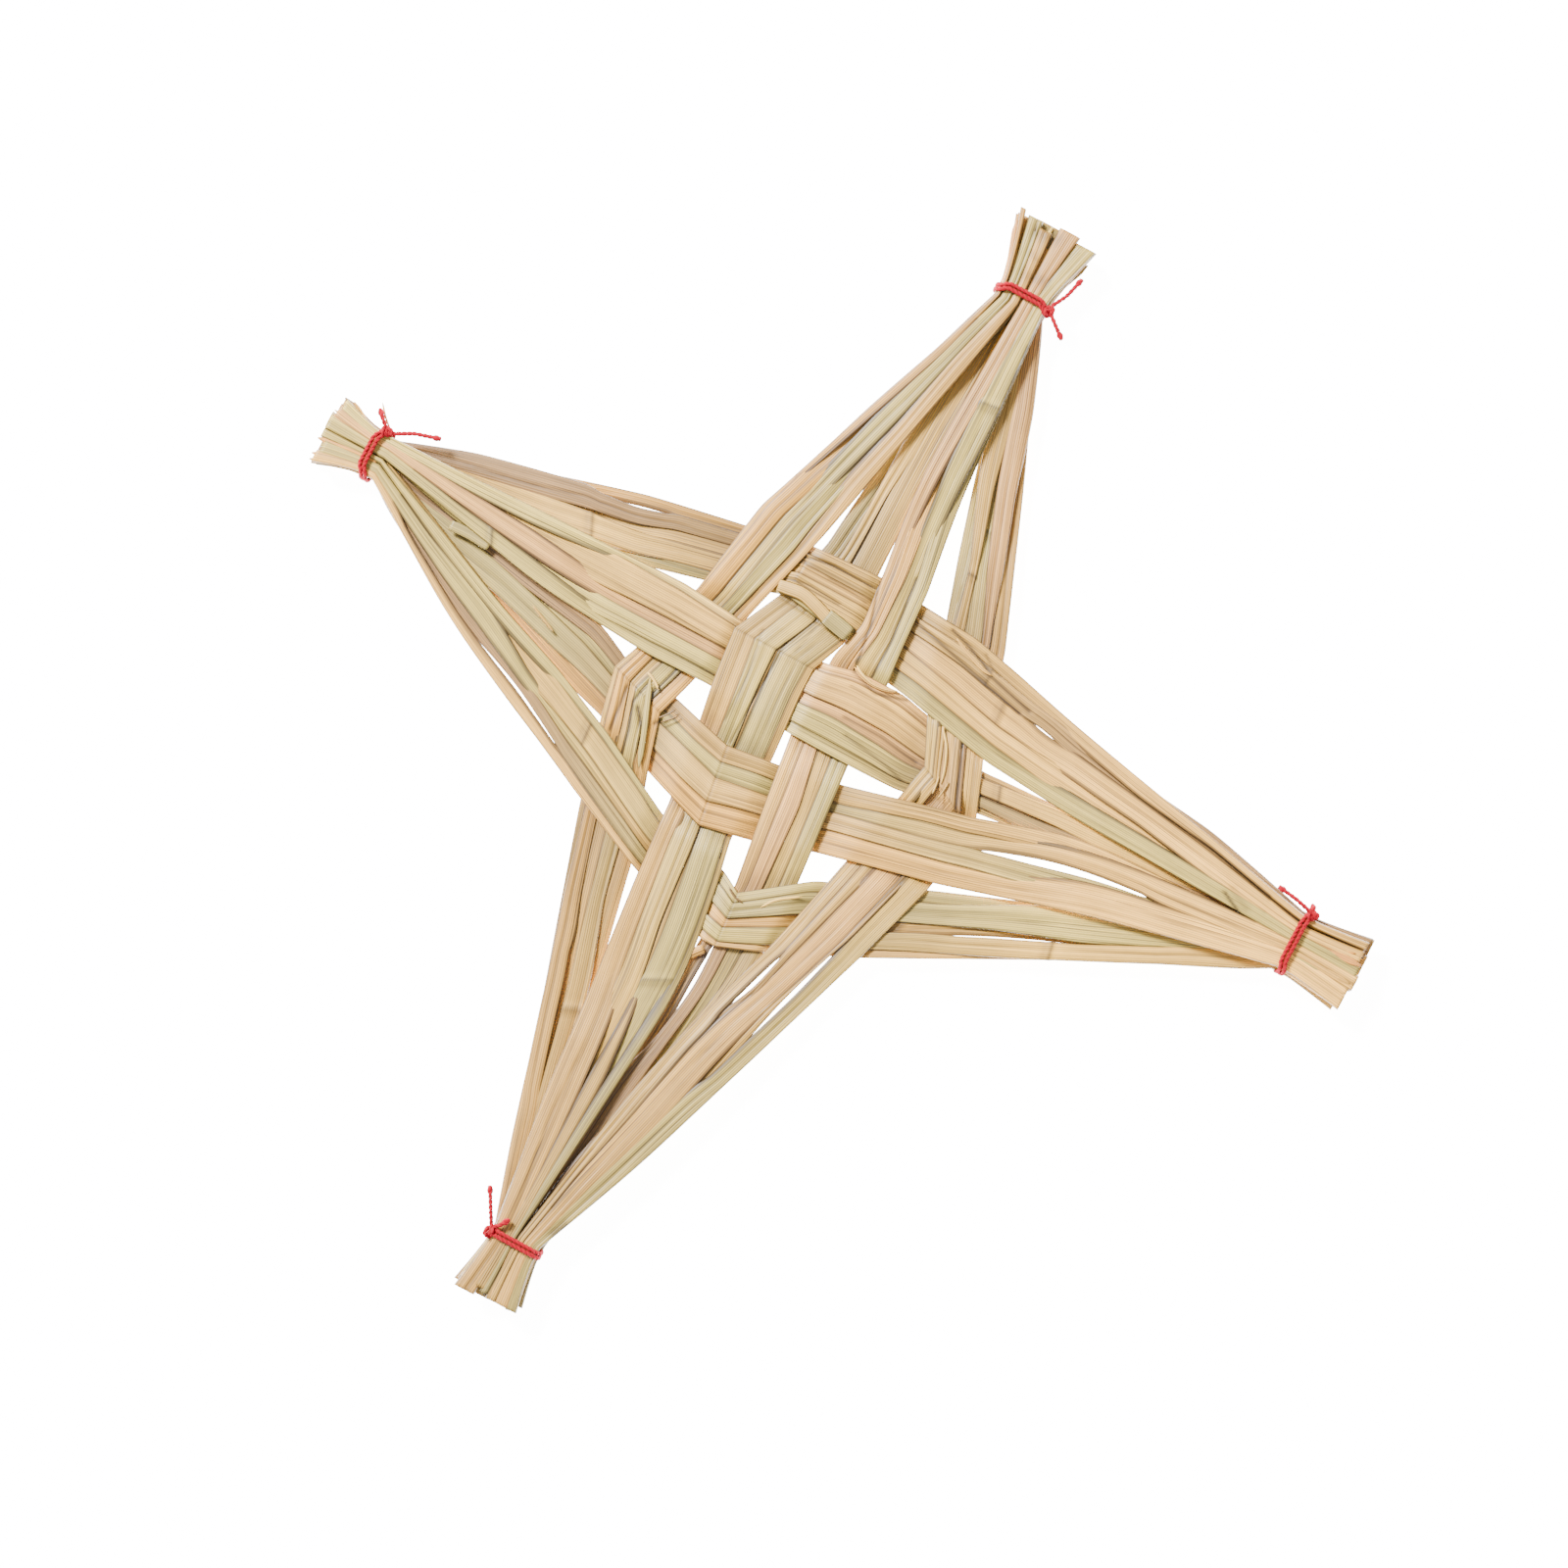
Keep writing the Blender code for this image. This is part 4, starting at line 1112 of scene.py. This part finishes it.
# Each shred: its tone, how bright that tone is, its width (mm), how much it curls up, its heights
# over the middle of the plait (mm), and its line as places in the photograph.
SHREDS = {
    "flap_bd2": ("peach", 1.10, 1.1, 0.2, (1.3, 1.5, 1.2),
        ((872, 681), (884, 695), (899, 703), (916, 706))),
    "flap_bd2_edge": ("pale", 1.2, 0.6, 0.3, (1.6, 1.9, 1.5),
        ((874, 679), (880, 690), (890, 697))),
    "tear_bd1": ("peach", 1.15, 0.9, 0.2, (1.3, 1.5, 1.4),
        ((976, 652), (988, 668), (1002, 684), (1012, 690))),
    "split_ac1": ("grey", 1.1, 1.5, 0.3, (1.4, 2.0, 1.6),
        ((664, 692), (661, 716), (658, 745), (652, 783))),
    "fray_ac1_a": ("pale", 1.15, 0.7, 0.5, (1.7, 2.2),
        ((661, 686), (669, 695), (672, 704))),
    "fray_ac1_b": ("brown", 0.8, 0.5, 0.3, (1.3, 1.7),
        ((671, 733), (682, 729), (690, 724))),
    "fray_ac1_c": ("brown", 0.8, 0.4, 0.3, (1.2, 1.6),
        ((674, 737), (686, 734), (693, 730))),
    "fray_ac4_a": ("pale", 1.05, 0.6, 0.3, (1.3, 1.7, 1.3),
        ((962, 742), (966, 762), (964, 785), (960, 800))),
    "fray_ac4_b": ("pale", 1.1, 0.5, 0.3, (1.4, 1.9),
        ((958, 792), (955, 802), (951, 810))),
    "fray_ac4_c": ("tan", 1.0, 0.5, 0.3, (1.4, 1.8),
        ((968, 798), (962, 808), (956, 815))),
    "fold_bd1": ("tan", 0.92, 3.4, 0.1, (0.9, 1.7, 2.0, 1.9),
        ((794, 597), (820, 606), (838, 624), (848, 636))),
    "fold_bd1_end": ("grey", 0.85, 4.4, 0.05, (2.0, 2.1),
        ((843, 629), (866, 648))),
    "curl_ac3": ("pale", 1.1, 0.7, 0.4, (1.5, 1.9),
        ((856, 652), (862, 650), (868, 645))),
    "flake_bd4": ("pale", 1.15, 0.7, 0.2, (1.3, 1.6, 1.3),
        ((776, 926), (790, 918), (806, 916), (818, 915))),
    "notch_bd4": ("brown", 0.7, 0.5, 0.2, (1.5, 1.7),
        ((744, 905), (750, 917), (758, 921))),
    "wisp_tie_b": ("pale", 1.1, 0.5, 0.2, (3.6, 4.0),
        ((392, 412), (395, 428), (401, 442))),
    "tear_arm_b_a": ("tan", 1.05, 1.3, 0.2, (1.0, 1.4),
        ((488, 597), (497, 612), (506, 626))),
    "tear_arm_b_b": ("tan", 1.10, 0.8, 0.2, (1.2, 1.5),
        ((544, 618), (553, 630), (565, 645))),
    "tear_arm_b_c": ("grey", 0.92, 2.8, 0.1, (2.0, 2.2),
        ((460, 536), (480, 545), (500, 558))),
    "flake_arm_c": ("orange", 0.9, 2.4, 0.3, (-0.4, 0.4),
        ((697, 978), (708, 972), (718, 968))),
}
for shred, (tone, bright, width, curl, heights, corners) in SHREDS.items():
    colour = [part * bright for part in linear(PALETTE[tone])]
    line = [pixel_to_plait(*corner) for corner in corners]
    make_shred("shred_" + shred, line, heights, width, colour, curl)
print("shreds made:", len(SHREDS))

# %% Slivers in the tufts
SLIVERS = 16
SLIVER_LEVELS = (-3.4, -1.8, 0.2, 2.2, 3.5, 3.9, 4.0)   # most are in the bundle's upper half
SLIVER_TONES = ("tan", "peach", "green", "grey", "brown", "orange")
SLIVER_WIDTHS = (0.8, 2.2)
SLIVER_CURLS = (-0.1, 0.4)


def make_slivers(arm):
    """Fill the cut end of an arm with thin slivers of uneven length."""
    rng = np.random.default_rng(ord(arm))
    tie, centre = ARMS[arm]["tie"]
    half = ARMS[arm]["width"] / 2
    for number in range(SLIVERS):
        start = (number + 0.5) / SLIVERS * 2.0 - 1.0 + rng.normal(0.0, 0.05)
        reach = ARMS[arm]["tuft"] * rng.uniform(0.70, 0.96)
        spread = ARMS[arm]["spread"] * rng.uniform(0.86, 1.0)
        line = [(tie - arm_side(arm) * 1.0, centre + start * half * 0.95),
                (tie + arm_side(arm) * 4.0, centre + start * half * 1.02),
                (tie + arm_side(arm) * reach, centre + start * half * spread + rng.normal(0.0, 0.35))]
        if ARMS[arm]["family"] == "ac":
            line = [point[::-1] for point in line]
        level = rng.choice(SLIVER_LEVELS) * (1.0 - 0.25 * abs(start))
        tone = PALETTE[SLIVER_TONES[rng.integers(len(SLIVER_TONES))]]
        tone = [part * rng.uniform(0.8, 1.1) for part in linear(tone)]
        heights = (level, level, level + rng.normal(0.0, 0.4))
        width = rng.uniform(*SLIVER_WIDTHS)
        curl = rng.uniform(*SLIVER_CURLS)
        make_shred(f"sliver_{arm}_{number + 1}", line, heights, width, tone, curl)


for arm in ARMS:
    make_slivers(arm)
print("slivers made:", SLIVERS * len(ARMS))

# %% [markdown]
# ## The thread ties
# A tie is one length of two-ply thread: a loose end, a small knot, two turns round the bundle
# and the other loose end. We draw its centre line first and then let two plies wind round it.

# %% The bundle under the thread
TIED_STRAW = 1.9         # height of a solid straw under the thread, as the frame has it
HALF_BUNDLE = GAP / 2 + 2 * TIED_STRAW + GAP
CORNER_RADIUS = 2.8      # of the bundle's rounded corners
COIL_PITCH = 1.15        # from one turn of the thread to the next
THREAD_STEP = 0.35
THREAD_SOFTNESS = 4
CORNER_STEP = 15         # degrees between two points of the thread round a corner
OFF_KNOT = 3             # points of the coil left out at each end, where the knot sits
KNOT_ACROSS, KNOT_UP, KNOT_SKEW = 1.3, 1.0, 0.8   # size of the knot's loop
# The corner of the bundle that the knot sits on, its two loose ends (along, across, up) and how
# far the turns bow along the arm on top.
KNOTS = {
    "a": {"corner": 0, "tails": ((10.5, 3.5, 0.5), (-4.5, 6.0, -1.0)), "bow": 2.6},
    "c": {"corner": 1, "tails": ((10.0, -5.0, 0.4), (5.0, 3.0, 0.7)), "bow": 0.0},
    "b": {"corner": 0, "tails": ((12.5, 4.5, 0.2), (-4.0, 4.0, 0.2)), "bow": -2.2},
    "d": {"corner": 0, "tails": ((-10.5, 2.4, -0.6), (-1.0, 2.4, -1.2)), "bow": -1.6},
}


def wrap_point(arm, corner, degrees, extra=0.0):
    """Return (across, up) of a point round one corner of a tied bundle."""
    clear = GAP + THREAD_RADIUS
    middle_across = ARMS[arm]["width"] / 2 + clear - CORNER_RADIUS
    middle_up = HALF_BUNDLE + clear - CORNER_RADIUS
    angle = math.radians(90.0 * corner + degrees)
    diagonal = math.radians(90.0 * corner + 45.0)
    radius = CORNER_RADIUS + extra
    across = math.copysign(middle_across, math.cos(diagonal)) + radius * math.cos(angle)
    up = math.copysign(middle_up, math.sin(diagonal)) + radius * math.sin(angle)
    return ARMS[arm]["tie"][1] + across, up


def arm_point(arm, along, across, up):
    """Return a point in the cross's own frame from its place along and across an arm."""
    if ARMS[arm]["family"] == "ac":
        return np.array((across, along, up)) + PLAIT_CENTRE
    return np.array((along, across, up)) + PLAIT_CENTRE


print("half the height of a tied bundle in mm:", round(HALF_BUNDLE, 2))

# %% The path of a tie's thread


def thread_path(arm):
    """Return the centre line of a tie's thread, evenly sampled."""
    centre = ARMS[arm]["tie"][0]
    start = KNOTS[arm]["corner"]
    first = centre - THREAD_TURNS * COIL_PITCH / 2
    coil = []
    for corner in range(start, start + 4 * THREAD_TURNS + 1):
        coil += [(corner, degrees) for degrees in range(0, 91, CORNER_STEP)]
    coil = coil[OFF_KNOT:-OFF_KNOT]
    knot_across, knot_up = wrap_point(arm, start, 45.0, 0.9)
    knot = np.array((centre, knot_across, knot_up))
    tails = [knot + np.array(tail) for tail in KNOTS[arm]["tails"]]
    turns = np.linspace(0.0, 2 * math.pi, 9)[:-1]
    loop = [knot + (math.cos(turn) * KNOT_ACROSS, math.sin(turn) * KNOT_UP,
                    math.sin(2 * turn) * KNOT_SKEW) for turn in turns]
    points = [tails[0], (tails[0] + knot) / 2 + np.array((0.0, 0.4, 0.5))] + loop[:5]
    for number, (corner, degrees) in enumerate(coil):
        across, up = wrap_point(arm, corner, degrees)
        part = (across - ARMS[arm]["tie"][1]) / (ARMS[arm]["width"] / 2)
        bow = KNOTS[arm]["bow"] * (1.0 - min(part * part, 1.0))
        along = first + COIL_PITCH * THREAD_TURNS * number / (len(coil) - 1) + bow
        points.append(np.array((along, across, up)))
    points += loop[4:] + [(tails[1] + knot) / 2 + np.array((0.0, 0.0, 0.5)), tails[1]]
    points = np.array([arm_point(arm, *point) for point in points])
    lengths = np.concatenate([[0.0], np.cumsum(np.linalg.norm(np.diff(points, axis=0), axis=1))])
    spots = np.linspace(0.0, lengths[-1], int(lengths[-1] / THREAD_STEP))
    even = np.stack([np.interp(spots, lengths, points[:, axis]) for axis in range(3)], axis=1)
    return np.stack([soften(even[:, axis], THREAD_SOFTNESS) for axis in range(3)], axis=1)


print("points along the thread of tie a:", len(thread_path("a")))

# %% Two plies round the path
PLY_RADIUS = 0.38
PLY_OFFSET = 0.19        # from the middle of the thread to the middle of a ply
PLY_PITCH = 2.6          # length of one twist
PLY_POINTS = 10
END_SWELL, END_MM = 0.7, 0.7   # the thread's ends fray into small beads


def carried_frames(points):
    """Return two directions square to a line at each point, carried along without a twist."""
    ahead = np.gradient(points, axis=0)
    ahead /= np.linalg.norm(ahead, axis=1)[:, None]
    side = np.cross(ahead[0], (0.0, 0.0, 1.0))
    side = side / np.linalg.norm(side) if np.linalg.norm(side) > 0.1 else np.array((1.0, 0.0, 0.0))
    sides = []
    for direction in ahead:
        side = side - direction * np.dot(side, direction)
        side /= np.linalg.norm(side)
        sides.append(side)
    sides = np.array(sides)
    return sides, np.cross(ahead, sides)


def make_tie(arm):
    """Model the thread tie of one arm as two plies round one line."""
    points = thread_path(arm)
    length = np.concatenate([[0.0], np.cumsum(np.linalg.norm(np.diff(points, axis=0), axis=1))])
    sides, ups = carried_frames(points)
    plies = []
    for ply in (0, 1):
        turn = length / PLY_PITCH * 2 * math.pi + math.pi * ply
        line = points + PLY_OFFSET * (np.cos(turn)[:, None] * sides + np.sin(turn)[:, None] * ups)
        ply_sides, ply_ups = carried_frames(line)
        angles = np.linspace(0.0, 2 * math.pi, PLY_POINTS + 1)
        ends = np.minimum(length, length[-1] - length)
        radius = PLY_RADIUS * (1.0 + END_SWELL * bump(ends - 1.0, END_MM))
        place = np.repeat(angles[None, :] * PLY_RADIUS, len(points), axis=0)
        angles = angles[:-1]
        around = (np.cos(angles)[None, :, None] * ply_sides[:, None, :]
                  + np.sin(angles)[None, :, None] * ply_ups[:, None, :])
        rings = line[:, None, :] + radius[:, None, None] * around
        tones = np.ones((len(points), PLY_POINTS, 3))
        node = f"tie_{arm}" if ply == 0 else None
        name = f"tie_{arm}_ply_{ply + 1}"
        plies.append(roll_tube(name, rings, place, length, tones, THREAD, node))
    return plies


ties = [ply for arm in ARMS for ply in make_tie(arm)]
print("thread plies made:", len(ties))

# %% [markdown]
# ## Floor and light
# The cross lies on a plain pale floor under soft studio light: a bright surround that fills the
# shadows, and one large soft lamp that gives the ribs of the straws their shape.

# %% Floor
FLOOR_MM = 4000.0
FLOOR_BELOW = 0.0001     # metres, so that the floor doesn't touch the lowest points
FLOOR_GLOW = 14.0        # so bright that the floor shows white and takes no shadow
floor_shape = bmesh.new()
bmesh.ops.create_grid(floor_shape, x_segments=1, y_segments=1, size=FLOOR_MM * MM / 2)
floor_mesh = bpy.data.meshes.new("floor")
floor_shape.to_mesh(floor_mesh)
floor_shape.free()
floor = bpy.data.objects.new("floor", floor_mesh)
floor.location = (0.0, 0.0, cad_box[0][2] - FLOOR_BELOW)
bpy.context.scene.collection.objects.link(floor)
paper, paper_tree, paper_shader = new_material("pale_paper_floor")
grain = add(paper_tree, "ShaderNodeTexNoise", values={"Scale": 300.0, "Detail": 3.0})
paper_tone = add(paper_tree, "ShaderNodeMix", {"Factor": grain.outputs["Fac"]}, data_type="RGBA")
paper_tone.inputs[6].default_value = (*linear("#F4F3F0"), 1.0)
paper_tone.inputs[7].default_value = (*linear("#FAF9F7"), 1.0)
paper_tree.links.new(paper_tone.outputs[2], paper_shader.inputs["Base Color"])
paper_shader.inputs["Roughness"].default_value = 0.9
paper_shader.inputs["Emission Color"].default_value = (1.0, 1.0, 1.0, 1.0)
paper_shader.inputs["Emission Strength"].default_value = FLOOR_GLOW
floor_mesh.materials.append(paper)
print("floor side in mm:", FLOOR_MM)

# %% Lights
ROOM_LIGHT = 0.85               # strength of the bright surround
KEY_PLACE = (-1.1, 0.45, 1.2)   # metres
KEY_SIZE = 0.4
KEY_WATTS = 120.0
world = bpy.data.worlds.new("soft_room")
world.use_nodes = True
sky = world.node_tree.nodes["Background"]
sky.inputs["Color"].default_value = (1.0, 1.0, 1.0, 1.0)
sky.inputs["Strength"].default_value = ROOM_LIGHT
bpy.context.scene.world = world


def area_light(name, place, size, watts):
    """Add a large square lamp that points at the middle of the cross."""
    data = bpy.data.lights.new(name, "AREA")
    data.size = size
    data.energy = watts
    lamp = bpy.data.objects.new(name, data)
    lamp.location = place
    lamp.rotation_euler = (-Vector(place)).to_track_quat("-Z", "Y").to_euler()
    bpy.context.scene.collection.objects.link(lamp)
    return lamp


area_light("key_lamp", KEY_PLACE, KEY_SIZE, KEY_WATTS)

# %% The size of the frame
print("cad box", [[round(value, 4) for value in corner] for corner in cad_box])
